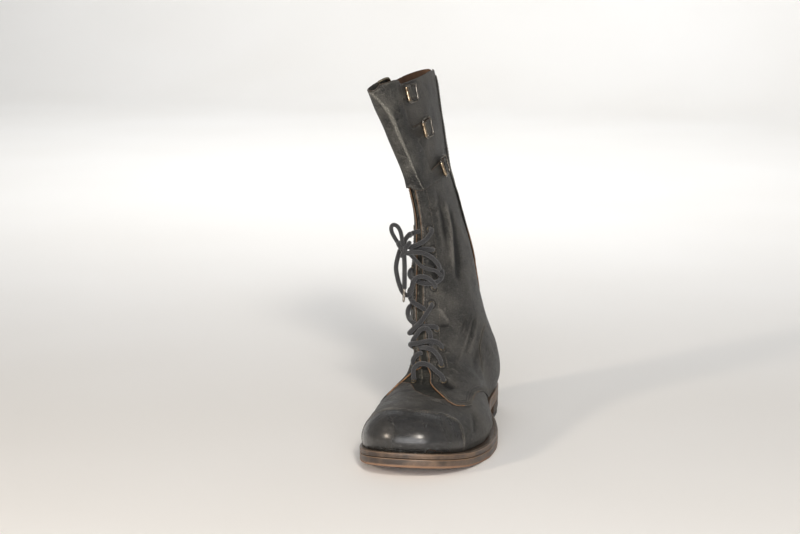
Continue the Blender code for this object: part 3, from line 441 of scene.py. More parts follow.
class BootShape:
    """The upper's outer surface, sampled densely once and read anywhere."""

    def __init__(self, levels=381, count=161):
        # Over the flat instep the levels run far ahead of one another, so the rows are close there
        fine = np.linspace(0, 1, 4001)
        front = level_front(fine)
        on_instep = (fine > INSTEP[0]) & (fine < INSTEP[1])
        front = np.where(on_instep, np.interp(fine, INSTEP, level_front(np.array(INSTEP))), front)
        steps = np.hypot(np.diff(front), np.diff(level_height(fine, front)))
        travel = np.concatenate([[0], steps.cumsum()]) + 70 * fine
        self.t = np.interp(np.linspace(0, travel[-1], levels), travel, fine)
        self.points = outline_points(self.t, count)
        low, high = outline_points(np.array(INSTEP), count)
        flat = (self.t > INSTEP[0]) & (self.t < INSTEP[1])
        share = ((self.t[flat] - INSTEP[0]) / (INSTEP[1] - INSTEP[0]))[:, None, None]
        self.points[flat] = onto_surface(low * (1 - share) + high * share)
        self.v = np.linspace(-1, 1, 2 * count - 1)
        up, along = np.gradient(self.points, axis=0), np.gradient(self.points, axis=1)
        # v = -1 and v = 1 are one line, so the slope along the level is shared there.
        along[:, 0] = along[:, -1] = (along[:, 0] + along[:, -1]) / 2
        self.normals = unit(box_filter(np.cross(along, up), 2))
        self.half_length = np.linalg.norm(np.diff(self.points[:, count - 1:], axis=1), axis=2).sum(1)
        self.relief = np.zeros((*self.points.shape[:2], 1))

    def row(self, t):
        """A level as a row number of the samples, with a fraction."""
        return np.interp(t, self.t, np.arange(len(self.t)))

    def level(self, row):
        return np.interp(row, np.arange(len(self.t)), self.t)

    def read(self, field, t, v):
        return self.read_row(field, self.row(np.asarray(t, float)), v)

    def read_row(self, field, row, v):
        """A field between its samples, on smooth curves both ways."""
        row, v = np.broadcast_arrays(np.asarray(row, float), np.asarray(v, float))
        rows, columns = len(self.t) - 1, len(self.v) - 1
        i, j = np.clip(row, 0, rows), ((v + 1) % 2) / 2 * columns
        i0 = np.clip(np.floor(i).astype(int), 0, rows - 1)
        j0 = np.clip(np.floor(j).astype(int), 0, columns - 1)

        def weights(s):
            s = s[..., None]
            return (-s**3 / 2 + s**2 - s / 2, 1.5 * s**3 - 2.5 * s**2 + 1,
                    -1.5 * s**3 + 2 * s**2 + s / 2, s**3 / 2 - s**2 / 2)

        total = 0
        for a, weight_t in enumerate(weights(i - i0)):
            row = np.clip(i0 + a - 1, 0, rows)
            for b, weight_v in enumerate(weights(j - j0)):
                total = total + weight_t * weight_v * field[row, (j0 + b - 1) % columns]
        return total

    def place(self, t, v):
        """The bare surface, before any crease."""
        return self.read(self.points, t, v)

    def normal(self, t, v):
        return unit(self.read(self.normals, t, v))

    def at(self, t, v, lift=0.0):
        """Points lifted off the creased surface along its normal."""
        rise = self.read(self.relief, t, v) + np.asarray(lift, float)[..., None]
        return self.place(t, v) + self.normal(t, v) * rise

    def fold(self, t, v):
        """Height of the creases, in millimetres."""
        return self.read(self.relief, t, v)[..., 0]

    def girth(self, t):
        """Length of one side of a level, from the front ridge to the back."""
        return np.interp(t, self.t, self.half_length)

    def find(self, points):
        """(t, v) of the place nearest to each point."""
        points = np.atleast_2d(np.asarray(points, float))
        flat = self.points[::4, ::4].reshape(-1, 3)
        nearest = np.concatenate([((part[:, None] - flat[None])**2).sum(2).argmin(1)
                                  for part in np.array_split(points, 1 + len(points) // 200)])
        width = len(self.v[::4])
        row, v = 4.0 * (nearest // width), self.v[::4][nearest % width]
        for _ in range(10):
            here = self.read_row(self.points, row, v)
            low, high = np.maximum(row - 0.5, 0), np.minimum(row + 0.5, len(self.t) - 1)
            rise = (self.read_row(self.points, high, v)
                    - self.read_row(self.points, low, v)) / (high - low)[:, None]
            run = (self.read_row(self.points, row, v + 0.002)
                   - self.read_row(self.points, row, v - 0.002)) / 0.004
            off = points - here
            a, b, c = (rise**2).sum(-1), (rise * run).sum(-1), (run**2).sum(-1)
            e, f = (rise * off).sum(-1), (run * off).sum(-1)
            share = a * c - b * b
            row = np.clip(row + np.clip((c * e - b * f) / share, -3, 3), 0, len(self.t) - 1)
            v = v + np.clip((a * f - b * e) / share, -0.02, 0.02)
        return self.level(row), v

    def patch_frame(self, t0, v0):
        """Millimetres per unit of t and of v near one place, and how much a level slants there."""
        step = 0.004
        rise = (self.place(t0 + step, v0) - self.place(t0 - step, v0)) / (2 * step)
        run = (self.place(t0, v0 + step) - self.place(t0, v0 - step)) / (2 * step)
        run_length = np.linalg.norm(run)
        slant = rise @ run / run_length
        return math.sqrt(rise @ rise - slant**2), run_length, slant

    def patch(self, t0, v0, aside, up, lift=0.0):
        """Points at millimetre offsets from (t0, v0): aside is backwards along the level."""
        climb, run_length, slant = self.patch_frame(t0, v0)
        dt = np.asarray(up, float) / climb
        return self.at(t0 + dt, v0 + (np.asarray(aside, float) - dt * slant) / run_length, lift)

    def in_patch(self, t0, v0, t, v):
        """The opposite of patch: (aside, up) in millimetres of a place (t, v)."""
        climb, run_length, slant = self.patch_frame(t0, v0)
        return (v - v0) * run_length + (t - t0) * slant, (t - t0) * climb


boot = BootShape()
print("boot surface:", boot.points.shape[:2], "samples, collar girth", round(2 * float(boot.girth(1.0))),
      "mm")

# %% [markdown]
# ## Creases
# Worn leather folds where the foot bends, and every layer folds together. So the
# creases are put into the surface itself, before any piece is cut from it. Each one
# is a short line of places with a height and a half-width: a soft ridge where the
# height is above 0, a trough where it is below. Sharp folds have a steep side and a
# gentle side, which is a ridge with a trough close beside it.

# %% Creases
# The double seam at the outer side of the heel pulls a fine line into the leather
HEEL_SEAM = ((25, -22, 94), (25.7, -37, 90.5), (26, -48, 86), (27, -60, 76.5), (29.6, -68, 67), (33, -81, 58))
#          height  half-width  places along it: x, y, z
CREASES = (
    # the long fold down the outer side of the shaft, and the hollow in front of it
    (2, 4.5, ((-16, -32, 227), (-12, -37, 213), (-8, -38, 199), (-6, -46, 183), (-2, -55, 164),
              (0, -62, 145))),
    (-2.2, 6, ((-12, -26, 222), (-6, -30, 200), (0, -38, 178), (3, -47, 156), (5, -56, 138))),
    (1, 5, ((-24, -52, 236), (-19, -56, 214), (-14, -60, 192), (-9, -68, 168))),
    (-1, 5, ((-21, -44, 238), (-16, -47, 216), (-11, -50, 194), (-6, -58, 170))),
    # the fan of wrinkles over the ankle and instep
    (1.3, 3.2, ((17, -40, 112), (17, -56, 100), (16, -72, 89), (15, -102, 79), (14, -125, 71))),
    (-1.2, 2.6, ((16, -44, 113), (15, -60, 100), (14, -80, 89), (13, -106, 79), (12, -122, 74))),
    (1, 2.8, ((15, -49, 112), (14, -64, 99), (12, -84, 88), (12, -110, 79))),
    (-1.3, 2.6, ((19, -38, 109), (18.5, -54, 97), (18, -72, 86), (18, -98, 77))),
    (1.1, 3.2, ((19, -34, 108), (20, -52, 94), (20, -71, 83), (20, -95, 76))),
    (-1, 2.8, ((13, -56, 111), (12, -70, 99), (10.5, -88, 89), (10.5, -110, 80))),
    (0.9, 2.6, ((11, -62, 110), (10, -74, 99), (9, -91, 88), (9, -111, 81))),
    (-1.1, 4.5, ((24, -48, 84), (25, -64, 76), (27, -84, 68), (27, -104, 64))),
    (0.9, 4.5, ((28, -46, 74), (30, -62, 66), (32, -82, 59), (32, -104, 57))),
    # the pleat beside the lacing, and its lower edge
    (1.8, 2.6, ((-10, -90, 124), (-5, -87, 117), (1, -85, 106))),
    (-1.6, 2, ((-10, -98, 107), (-4, -92, 106), (1, -86, 105))),
    (-1.2, 3, ((-13, -86, 128), (-8, -82, 121), (-2, -79, 111))),
    (0.8, 2.2, ((-13, -89, 135), (-8, -83, 135), (-4, -78, 132))),
    (-0.8, 2.2, ((-14, -90, 140), (-9, -84, 140), (-4, -78, 138))),
    (0.9, 2, ((1, -112, 86), (4, -111, 84), (7, -110, 83))),
    (-0.8, 2, ((-1, -108, 91), (3, -107, 89), (7, -106, 87))),
    # the foot of the throat and the vamp in front of it
    (-1.6, 4.5, ((7, -143, 65), (14, -151, 61), (19, -155, 59))),
    (1.2, 3, ((4, -139, 69), (14, -142, 65), (24, -148, 60))),
    (0.8, 1.8, ((0, -179, 59), (9, -186, 57), (14, -186, 56), (21, -188, 54))),
    (-0.8, 1.8, ((-4, -183, 58), (6, -190, 56), (15, -190, 55), (24, -191, 52))),
    (0.7, 1.8, ((-24, -178, 60), (-14, -187, 58), (-2, -194, 56), (12, -197, 55))),
    (-0.8, 1.8, ((-27, -183, 58), (-16, -192, 57), (-2, -199, 55), (14, -202, 53))),
    (0.6, 1.8, ((-30, -190, 57), (-18, -199, 56), (-4, -205, 55), (8, -207, 54))),
    (0.7, 2, ((-38, -172, 56), (-32, -184, 57), (-26, -196, 57))),
    (-0.7, 2, ((-42, -176, 54), (-36, -188, 55), (-30, -201, 56))),
    (-1, 3.5, ((42, -172, 44), (46, -184, 36), (48, -196, 28))),
    (0.8, 3, ((40, -178, 46), (43, -190, 39), (45, -203, 30))),
    (-0.7, 1.1, HEEL_SEAM),
    # small wrinkles under the flap
    (0.8, 2, ((-24, -67, 226), (-20, -60, 219), (-18, -45, 225))),
    (-0.8, 2, ((-25, -69, 221), (-20, -64, 214), (-17, -50, 219))),
    (0.7, 1.8, ((-21, -70, 211), (-17, -59, 211), (-14, -48, 216))),
    # the inner side bends the same way
    (1.6, 4.5, ((-47, -38, 214), (-42, -40, 194), (-37, -43, 172), (-33, -50, 150))),
    (-1.6, 5, ((-46, -28, 206), (-41, -30, 186), (-36, -34, 164), (-32, -42, 144))),
    (1.2, 3.4, ((-29, -34, 112), (-31, -54, 101), (-33, -74, 91), (-34, -98, 82))),
    (-1.2, 3, ((-30, -28, 105), (-32, -48, 95), (-35, -70, 85), (-37, -94, 76))),
    (1, 3.4, ((-32, -24, 98), (-34, -44, 88), (-38, -66, 77), (-40, -90, 68))),
    (-0.9, 3.4, ((-28, -44, 122), (-30, -62, 112), (-31, -80, 102), (-31, -98, 93))),
    # the bend at the back of the ankle
    (-1.2, 4, ((-14, 20, 150), (0, 23, 146), (12, 18, 150))),
    (1, 4, ((-12, 22, 136), (2, 26, 132), (14, 20, 137))),
)


def from_line(points, line):
    """Distance of every point from a line, and its share of the way along it."""
    nearest, share = np.full(points.shape[:-1], 1e9), np.zeros(points.shape[:-1])
    length = travelled(line)
    for k in range(len(line) - 1):
        way = line[k + 1] - line[k]
        s = np.clip((points - line[k]) @ way / (way @ way), 0, 1)
        distance = np.linalg.norm(points - line[k] - s[..., None] * way, axis=-1)
        closer = distance < nearest
        nearest = np.where(closer, distance, nearest)
        share = np.where(closer, (length[k] + s * (length[k + 1] - length[k])) / length[-1], share)
    return nearest, share


def crease_relief(points):
    """Height of all creases together at some points, in millimetres."""
    height = np.zeros(points.shape[:-1])
    for depth, half, places in CREASES:
        line = smooth_line(places, 4.0)
        near = np.linalg.norm(points - line.mean(0), axis=-1) < 30 + np.ptp(line, axis=0).max()
        distance, share = from_line(points[near], line)
        fade = smooth(share / 0.22) * smooth((1 - share) / 0.22)
        height[near] += depth * fade * np.exp(-(distance / half)**2)
    return height


def slack(points, seed=5, waves=14):
    """The gentle unevenness of leather that has lost its shape."""
    rng = np.random.default_rng(seed)
    total = np.zeros(points.shape[:-1])
    for _ in range(waves):
        way = rng.normal(size=3)
        total += np.sin(points @ (way / np.linalg.norm(way)) * rng.uniform(0.12, 0.42) + rng.uniform(0, 6.3))
    return total / math.sqrt(waves)


stiff_toe = smooth((boot.points[..., 1] + 205) / 30) * smooth((boot.points[..., 2] - 30) / 30)
boot.relief = (crease_relief(boot.points) + 0.28 * stiff_toe * slack(boot.points))[..., None]
print("creases:", len(CREASES), "relief from", boot.relief.min().round(2), "to", boot.relief.max().round(2),
      "mm")

# %% [markdown]
# ## The lace
# One round braided cord runs through nine pairs of eyelets. It is placed strand by
# strand, because it was tied in a hurry and no two rows match. Each strand is a line
# of places: eyelet row, millimetres across from the middle of the throat, and lift
# off the leather. It comes up out of one hole, passes over or under its neighbour
# and goes down another. The bow hangs free in front of the inner side: a knot, one
# loop, a straight end with a metal tip and a slack run back to a hole.

# %% A braided cord's material
def braided_cloth():
    """Dark cotton. Two sets of slanting threads cross each other in the cord's own UV map."""
    threads = 6                                # in each direction, per girth of the cord
    mat, shader, place = new_material("braided_lace", 0.82)
    uv = output(mat.node_tree, "ShaderNodeUVMap", uv_map="UVMap")
    split = add(mat.node_tree, "ShaderNodeSeparateXYZ", {0: uv})
    waves = []
    for tilt in (1.0, -1.0):
        slanted = plus(split.outputs["X"], times(split.outputs["Y"], tilt))
        waves.append(spread(combine("SINE", times(slanted, math.tau * threads)), -1.0, 1.0))
    braid = larger(*waves)
    fuzz = noise(place, 1800.0, 3.0)
    dusty = noise(place, 90.0, 3.0)
    dark = mix(spread(braid, 0.35, 1.0), (0.004, 0.004, 0.005), (0.026, 0.026, 0.028))
    paint(shader, mix(spread(dusty, 0.45, 0.85, 0.0, 0.5), dark, (0.052, 0.050, 0.048)))
    shader.inputs["Sheen Weight"].default_value = 0.25
    shader.inputs["Sheen Roughness"].default_value = 0.5
    bump(shader, (braid, 0.0004, 0.9), (fuzz, 0.0001, 0.4))
    return mat


def dull_metal(name, colour, stain, roughness):
    """A plated or plain metal that has been handled, scratched and stained."""
    mat, shader, place = new_material(name, roughness, 1.0)
    patches = noise(place, 500.0, 4.0)
    scratch = noise(place, 3000.0, 2.0)
    paint(shader, mix(spread(patches, 0.45, 0.62), colour, stain),
          spread(patches, 0.3, 0.7, roughness * 0.7, roughness * 1.7))
    bump(shader, (scratch, 0.00005, 0.35))
    return mat


LACE_CLOTH = braided_cloth()
WORN_BRASS = dull_metal("worn_brass", (0.56, 0.43, 0.29), (0.12, 0.085, 0.055), 0.27)
DULL_STEEL = dull_metal("dull_steel", (0.33, 0.30, 0.26), (0.10, 0.085, 0.07), 0.30)

# %% Making meshes from millimetre points
def weld(mesh, distance, outward=True):
    """Merges points that are closer than some millimetres, and turns the faces outwards."""
    bm = bmesh.new()
    bm.from_mesh(mesh)
    bmesh.ops.remove_doubles(bm, verts=bm.verts, dist=distance * MM)
    if outward:
        bmesh.ops.recalc_face_normals(bm, faces=bm.faces)
    bm.to_mesh(mesh)
    bm.free()


def new_piece(name, points, faces, *materials, merge=0.0, sharp=40.0):
    """A mesh object from millimetre points, smooth except at its corners."""
    mesh = bpy.data.meshes.new(name)
    mesh.from_pydata((np.asarray(points, float) * MM).tolist(), [], faces)
    if merge:
        weld(mesh, merge)
    for mat in materials:
        mesh.materials.append(mat)
    mesh.shade_smooth()
    mesh.set_sharp_from_angle(angle=math.radians(sharp))
    return show(name, mesh)


def ring_faces(rings, count, closed=False):
    """Quads from each ring of points to the next one, and from the last to the first if closed."""
    ring, k = np.meshgrid(np.arange(rings if closed else rings - 1), np.arange(count), indexing="ij")
    here, there, after = ring * count, (ring + 1) % rings * count, (k + 1) % count
    return np.stack([here + k, here + after, there + after, there + k], -1).reshape(-1, 4).tolist()


def settle(piece, slot, *nodes):
    """The piece rides on the boot and stands for measured nodes, which it hides. The slot, a finish's name,
    is not used.
    """
    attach(piece, "root")
    if nodes:
        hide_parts(*nodes)
    faces = sum(len(p.vertices) - 2 for p in piece.data.polygons)
    print(f"{piece.name}: {faces} triangles")
    return piece


# Rings that round a tube's end: how far out each is and how wide
END_REACH, END_WIDTH = np.array([1.0, 0.85, 0.45]), np.array([0.02, 0.53, 0.89])


def tube_mesh(path, radius, sides=12):
    """Points, faces and UVs of a closed tube with rounded ends.

    The turn of its rings is carried along the path without twist. UV runs in
    girths: u along the tube, v once round it.
    """
    path = np.asarray(path, float)
    ahead = unit(np.gradient(path, axis=0))
    radii = np.broadcast_to(np.asarray(radius, float), len(path))
    rings = [path[0] - ahead[0] * radii[0] * reach for reach in END_REACH] + list(path)
    rings += [path[-1] + ahead[-1] * radii[-1] * reach for reach in END_REACH[::-1]]
    ahead = np.concatenate([ahead[:1]] * 3 + [ahead] + [ahead[-1:]] * 3)
    radii = np.concatenate([radii[0] * END_WIDTH, radii, radii[-1] * END_WIDTH[::-1]])
    rings = np.array(rings)
    normal = np.cross(ahead[0], (0.31, 0.17, 0.93))
    turn = (np.arange(sides) * math.tau / sides)[:, None]
    points = []
    for centre, direction, r in zip(rings, ahead, radii):
        normal = unit(normal - direction * (normal @ direction))
        points.append(centre + r * (np.cos(turn) * normal + np.sin(turn) * np.cross(direction, normal)))
    u, v = np.meshgrid(travelled(rings) / (math.tau * radii.max()), np.arange(sides) / sides, indexing="ij")
    uvs = np.stack([np.stack([u[:-1], v[:-1]], -1), np.stack([u[:-1], v[:-1] + 1 / sides], -1),
                    np.stack([u[1:], v[:-1] + 1 / sides], -1), np.stack([u[1:], v[:-1]], -1)], 2)
    points = np.concatenate(points)
    ends = [list(range(sides))[::-1], list(range(len(points) - sides, len(points)))]
    return points, ring_faces(len(rings), sides) + ends, uvs.reshape(-1, 2)


def tubes(name, paths, radius, mat, sides=12):
    """One piece from several tubes, with a UV map."""
    all_points, all_faces, all_uvs, start = [], [], [], 0
    for path in paths:
        points, faces, uvs = tube_mesh(path, radius, sides)
        all_faces += [[start + i for i in face] for face in faces]
        all_points.append(points)
        all_uvs += [uvs, np.zeros((2 * sides, 2))]
        start += len(points)
    piece = new_piece(name, np.concatenate(all_points), all_faces, mat, sharp=60)
    layer = piece.data.uv_layers.new(name="UVMap")
    layer.data.foreach_set("uv", np.concatenate(all_uvs).astype(np.float32).ravel())
    return piece


def ease(path, passes):
    """The path with its kinks worked out, and its two ends kept."""
    path = np.array(path, float)
    for _ in range(passes):
        path[1:-1] = (path[:-2] + 2 * path[1:-1] + path[2:]) / 4
    return path


# %% Where the eyelets are
EYELET_ROWS = (0.312, 0.417, 0.5, 0.56, 0.612, 0.652, 0.687, 0.724, 0.762)
# Across from the middle of the throat. The outer facing is pulled out of line by the lace.
OUTER_EYELETS = ((1, 18), (1.87, 15.6), (2.8, 20.4), (3.78, 17.2), (5.15, 12.6), (5.95, 15.4), (6.75, 20.5),
    (7.89, 15.6), (8.95, 12.5))
INNER_EYELETS = tuple((row, -12.0) for row in range(1, 10))


def lace_place(route):
    """Points (row, across) or (row, across, lift) as columns of t, v and lift."""
    row, across, *lift = np.array(route, float).T
    t = np.interp(row, np.arange(1, 10), EYELET_ROWS)
    return t, across / boot.girth(t), *lift


def lace_line(route, step=1.1):
    """A smooth line through route points (row, across, lift)."""
    return ease(smooth_line(boot.at(*lace_place(route)), step), 4)


# %% Strands over the throat
LACE = 4.6
PULLED_FLAT = (4.0, 3.8)          # the same cord, drawn thinner in the loop and in the second run
DOWN = -1.2                       # a strand's end inside the leather
# Each strand: eyelet row, across, lift
STRANDS = {
    "lace_bar": [
        [(1.1, -12.5, DOWN), (1.28, -12.8, 2), (1.6, -10.8, 4.2), (1.86, -6.5, 4.6), (1.92, -1, 4.8),
         (1.78, 4, 4.6), (1.42, 9.5, 4.2), (1.14, 14.6, 3.4), (1.02, 17.6, 1.6), (1, 18, DOWN)]],
    "lace_crossing_2_3": [
        [(3, -12, DOWN), (3.1, -12.2, 2.2), (3.28, -9, 4.6), (3.32, -2.5, 5.4), (3.34, 5, 5.2),
         (3.2, 12.5, 4.4), (2.96, 17.6, 3.2), (2.83, 20, 1.6), (2.8, 20.4, DOWN)],
        [(3.22, -3, -1.8), (3.17, -0.8, 0.6), (3.08, 2, 2.8), (2.9, 6.6, 4.2), (2.56, 11, 4.4),
         (2.16, 14, 3.6), (1.92, 15.3, 1.6), (1.87, 15.6, DOWN)],
        [(1.96, -12, DOWN), (2.06, -12, 1.9), (2.3, -9.6, 3), (2.62, -6.4, 2.6), (2.82, -3.6, 0.6),
         (2.9, -2.6, -1.8)]],
    "lace_crossing_4_5": [
        [(3.78, -14.5, DOWN), (3.74, -14.6, 1.8), (3.76, -11.6, 4.2), (3.96, -6, 5.2), (4.32, 0, 5.6),
         (4.76, 5.8, 5.2), (5.04, 10.2, 4), (5.13, 12.2, 1.8), (5.15, 12.6, DOWN)],
        [(5.05, -14.5, DOWN), (4.95, -15.2, 2.4), (4.76, -15.4, 4.4), (4.52, -11.6, 4.4), (4.3, -5.5, 2.6),
         (4.12, 1, 2.4), (4.02, 8, 3.4), (3.9, 14, 3), (3.81, 16.8, 1.4), (3.78, 17.2, DOWN)],
        [(3.22, -9.8, -0.4), (3.44, -8, 2), (3.72, -4.4, 3.6), (3.94, -0.4, 4.2), (3.96, 4, 4.4),
         (3.76, 7.6, 4.2), (3.46, 8.8, 3.4), (3.22, 8.8, 1.6)],
        [(5.96, -12, DOWN), (5.86, -12.2, 2.2), (5.64, -9.4, 4), (5.36, -4, 4.4), (5.16, 1.5, 2.6),
         (5.04, 4.2, 0.2), (5, 5, -1.6)],
        [(6.95, -12, DOWN), (6.84, -11.6, 2.2), (6.66, -8.6, 4.2), (6.5, -2, 4.6), (6.3, 5, 4.6),
         (6.2, 13, 4.2), (6.18, 20.5, 3.8), (6.34, 24.2, 3.6), (6.6, 24, 3.2), (6.74, 21.4, 2),
         (6.75, 20.5, DOWN)],
        [(7.95, -12, DOWN), (7.98, -11.4, 2.2), (8.1, -8, 3.6), (8.16, -1.6, 3.4), (8.12, 5, 3.4),
         (7.98, 11, 3.2), (7.9, 15, 1.6), (7.89, 15.6, DOWN)]],
}
for name, routes in STRANDS.items():
    settle(tubes(name, [lace_line(route) for route in routes], LACE / 2, LACE_CLOTH), "lace_cloth", name)


# %% The bow and the loose runs
def hole(row, side, lift):
    places = OUTER_EYELETS if side > 0 else INNER_EYELETS
    return boot.at(*lace_place([(*places[row - 1], lift)]))[0]


TOP_RUN = ((-22, -89, 189.3), (-27, -94, 186.4), (-33, -97.5, 184), (-38.5, -99, 183.5), (-41.3, -98.5, 186),
    (-40.6, -97, 190), (-37, -92.5, 195))
RUN = ((-33.5, -101.5, 179.6), (-27.5, -99, 179), (-20.5, -95.5, 177), (-14.6, -91, 172.5), (-9, -87, 164.5))
SECOND_RUN = ((-34.5, -101, 177), (-29.5, -98.5, 171), (-24, -96, 164.5), (-17.5, -93, 161.5),
    (-11.5, -89.5, 160), (-7.5, -86.5, 155))
LOOP = ((-43.5, -98.6, 182.5), (-46, -99.4, 186.5), (-49.6, -101, 192.6), (-52.8, -103, 200.9),
    (-52.4, -104, 205), (-49.6, -105, 206.8), (-46, -105, 204.9), (-42.8, -105, 199.1), (-41.6, -105, 192.5),
    (-41.2, -104.4, 187))
STRAIGHT_END = ((-40.2, -103.6, 182), (-39.6, -105, 178), (-38.8, -106.5, 170.1), (-38.4, -108, 157.6),
    (-38.2, -109.5, 146))
TIP = ((-38.2, -109.7, 147.5), (-38.3, -110.3, 142), (-38.6, -111.4, 132.8))
SLACK = ((-45, -99.2, 180), (-47.2, -100.2, 172), (-48.2, -102, 163.8), (-46.7, -103, 155),
    (-44, -103.5, 146), (-40.5, -104, 139), (-36, -104.5, 136.6), (-32.4, -104.5, 141), (-31.5, -103.5, 150),
    (-27.5, -102, 155), (-21, -99.5, 155.6), (-15.5, -94, 151))


def free_cord(name, points, diameter, *nodes, far_end="object", lay="hanging", with_pieces=()):
    """A loose length of lace: a braided tube on a smooth line."""
    path = ease(smooth_line(points, 1.1), 10)
    piece = settle(tubes(name, [path], diameter / 2, LACE_CLOTH, sides=14), "lace_cloth", *nodes)
    return piece


tip_path = smooth_line(TIP, 1.0)
tip_radius = np.interp(np.linspace(0, 1, len(tip_path)), [0, 0.1, 0.9, 1], [1.75, 1.5, 1.3, 1.0])
lace_tip = settle(tubes("lace_tip", [tip_path], tip_radius, DULL_STEEL, sides=14), "dull_steel", "lace_aglet")
free_cord("bow_straight_end", STRAIGHT_END, LACE, "lace_end", far_end="fitting", with_pieces=[lace_tip])
free_cord("bow_loop", LOOP, PULLED_FLAT[0], "lace_loop")
free_cord("bow_run", [*RUN, hole(7, 1, 3.0), hole(7, 1, 0.0)], LACE, "lace_run", lay="taut")
free_cord("bow_second_run", SECOND_RUN, PULLED_FLAT[1], lay="taut")
free_cord("bow_slack", [*SLACK, hole(6, 1, 3.6), hole(6, 1, 0.2)], LACE, "lace_slack")
knot_wraps = [
    # the two turns that the bow's knot pulls tight round the runs
    [(-36.4, -97.4, 186.8), (-35.4, -100.6, 188), (-36.2, -104.4, 186.2), (-38.6, -106.4, 182),
     (-41, -105.8, 177.6), (-42.2, -102.6, 175.6)],
    [(-45.6, -97.8, 187.2), (-46, -101.2, 187.4), (-43.8, -104.6, 185), (-40.2, -106, 181.4),
     (-36.6, -104.6, 178.8), (-34, -101.4, 178.4)]]
wraps = settle(tubes("knot_turns", [smooth_line(w, 1.0) for w in knot_wraps], LACE / 2, LACE_CLOTH,
                     sides=14), "lace_cloth")
into_gap = boot.at(*lace_place([(8.62, -11.5, 4.2), (8.8, -7.5, 3.6), (8.95, -3.8, 1.0), (9.0, -2.4, -2.2)]))
free_cord("bow_knot", [hole(9, 1, 0.0), hole(9, 1, 3.0), *TOP_RUN, *into_gap], LACE, "lace_knot",
          lay="taut", with_pieces=[wraps])

# %% [markdown]
# ## Leather
# The upper is black leather with a pebbled grain. Grain is a net of fine creases
# between small round cells, which is what a Voronoi pattern's cell edges are, with
# finer noise over it. Wear isn't spread evenly: it comes where leather is bent, cut
# or rubbed. So each piece carries three attributes that its mesh was made with:
# `edge`, millimetres in from its own cut edge, `raw`, 1 where the cut is bare, and
# `fold`, the height of the creases there. The material paints wear by them.
# The tops of folds and wrinkles are also lightened as a painted highlight, and hollows, stitch grooves and
# the cut wall are darkened as painted shade.

# %% Leather material
def leather(name, deep, face, worn, roughness, grain=720.0, grain_depth=0.00034, bare=(0.36, 0.185, 0.085),
            grooves=(), wrinkle_wear_and_highlight=0.45, wrinkle_depth=0.0020, mirror=0.32, polish=0.0, scuff_depth=0.0003):
    """Dyed leather: deep between the grain, face on it, worn on folds and edges, bare at cuts. Fold tops and
    wrinkle crests also get a painted highlight, and hollows, stitch grooves and the cut wall get painted
    shade.
    """
    mat, shader, place = new_material(name, roughness)
    tree = mat.node_tree
    shader.inputs["Specular IOR Level"].default_value = mirror
    shader.inputs["Coat Weight"].default_value = polish
    shader.inputs["Coat Roughness"].default_value = 0.24
    edge, raw, fold = (add(tree, "ShaderNodeAttribute", attribute_name=a).outputs["Fac"]
                       for a in ("edge", "raw", "fold"))
    wobble = add(tree, "ShaderNodeTexNoise", {"Vector": place, "Scale": 260, "Detail": 2}).outputs["Color"]
    bent = add(tree, "ShaderNodeMix", {0: 0.0018, 4: place, 5: wobble}, data_type="VECTOR").outputs[1]
    cells = output(tree, "ShaderNodeTexVoronoi", {"Vector": bent, "Scale": grain}, feature="DISTANCE_TO_EDGE")
    pebble = spread(cells, 0.0, 0.22)
    fine = noise(place, 2600.0, 3.0)
    # Fine wrinkles run round the leg and across the foot
    drawn = output(tree, "ShaderNodeMapping", {"Vector": place, "Scale": (0.35, 1.0, 1.15)})
    wrinkles = noise(drawn, 330.0, 4.0, 0.62)
    patches = noise(place, 34.0, 4.0, 0.6)
    scuffs = noise(place, 210.0, 5.0, 0.7)
    colour = mix(spread(pebble, 0.1, 0.9), deep, face)
    colour = mix(spread(patches, 0.42, 0.78, 0.0, 0.45), colour, worn)
    # Worn tops of folds, lightened also as a painted highlight, and scuffs along each piece's edge
    fold_wear_and_highlight = spread(plus(fold, times(scuffs, 1.1)), 0.9, 2.2, 0.0, 0.95)
    fold_wear_and_highlight = times(fold_wear_and_highlight, spread(pebble, 0.15, 0.85, 0.25, 1.0))
    on_edge = times(spread(edge, 0.1, 2.4, 1.0, 0.0), spread(scuffs, 0.42, 0.62))
    rubbed = larger(fold_wear_and_highlight, on_edge)
    colour = mix(rubbed, colour, worn)
    # The crests of the fine wrinkles are lightened: wear, and a painted highlight on the crests
    colour = mix(spread(wrinkles, 0.57, 0.70, 0.0, wrinkle_wear_and_highlight), colour, worn)
    # Painted shade: hollows are darkened, and so is the line that stitches are pulled into
    hollow_shade = spread(fold, -0.3, -1.4, 0.0, 0.85)
    sunk = None
    for aside in grooves:
        off = combine("ABSOLUTE", plus(edge, -aside))
        near = spread(off, 0.25, 0.75, 1.0, 0.0)
        if aside > 3:                       # the outer rows are sewn only along the low arch
            height = add(tree, "ShaderNodeSeparateXYZ", {"Vector": place}).outputs["Z"]
            near = times(near, spread(height, 0.056, 0.059, 1.0, 0.0))
        sunk = larger(sunk, near) if sunk else near
    if sunk:
        hollow_shade = larger(hollow_shade, times(sunk, 0.8))
    painted_shade_colour = tuple(c * 0.5 for c in deep)
    colour = mix(hollow_shade, colour, painted_shade_colour)
    # Painted shade on the cut wall, where edge is below 0
    colour = mix(spread(edge, -0.1, -0.5, 0.0, 0.8), colour, painted_shade_colour)
    ragged_edge = plus(edge, times(scuffs, -0.9))
    cut = times(raw, spread(ragged_edge, -0.35, 0.25, 1.0, 0.0))
    bare_mix = mix(spread(scuffs, 0.35, 0.65), bare, tuple(c * 0.45 for c in bare))
    rough = plus(spread(patches, 0.3, 0.75, -0.06, 0.10), times(rubbed, 0.12))
    rough = plus(rough, times(cut, 0.3))
    paint(shader, mix(cut, colour, bare_mix), plus(rough, roughness))
    heights = [(pebble, grain_depth, 0.75), (fine, grain_depth * 0.35, 0.5), (scuffs, scuff_depth, 0.4),
               (wrinkles, wrinkle_depth, 0.8)]
    if sunk:
        heights.append((times(sunk, -1.0), 0.0004, 0.8))
    bump(shader, *heights)
    return mat


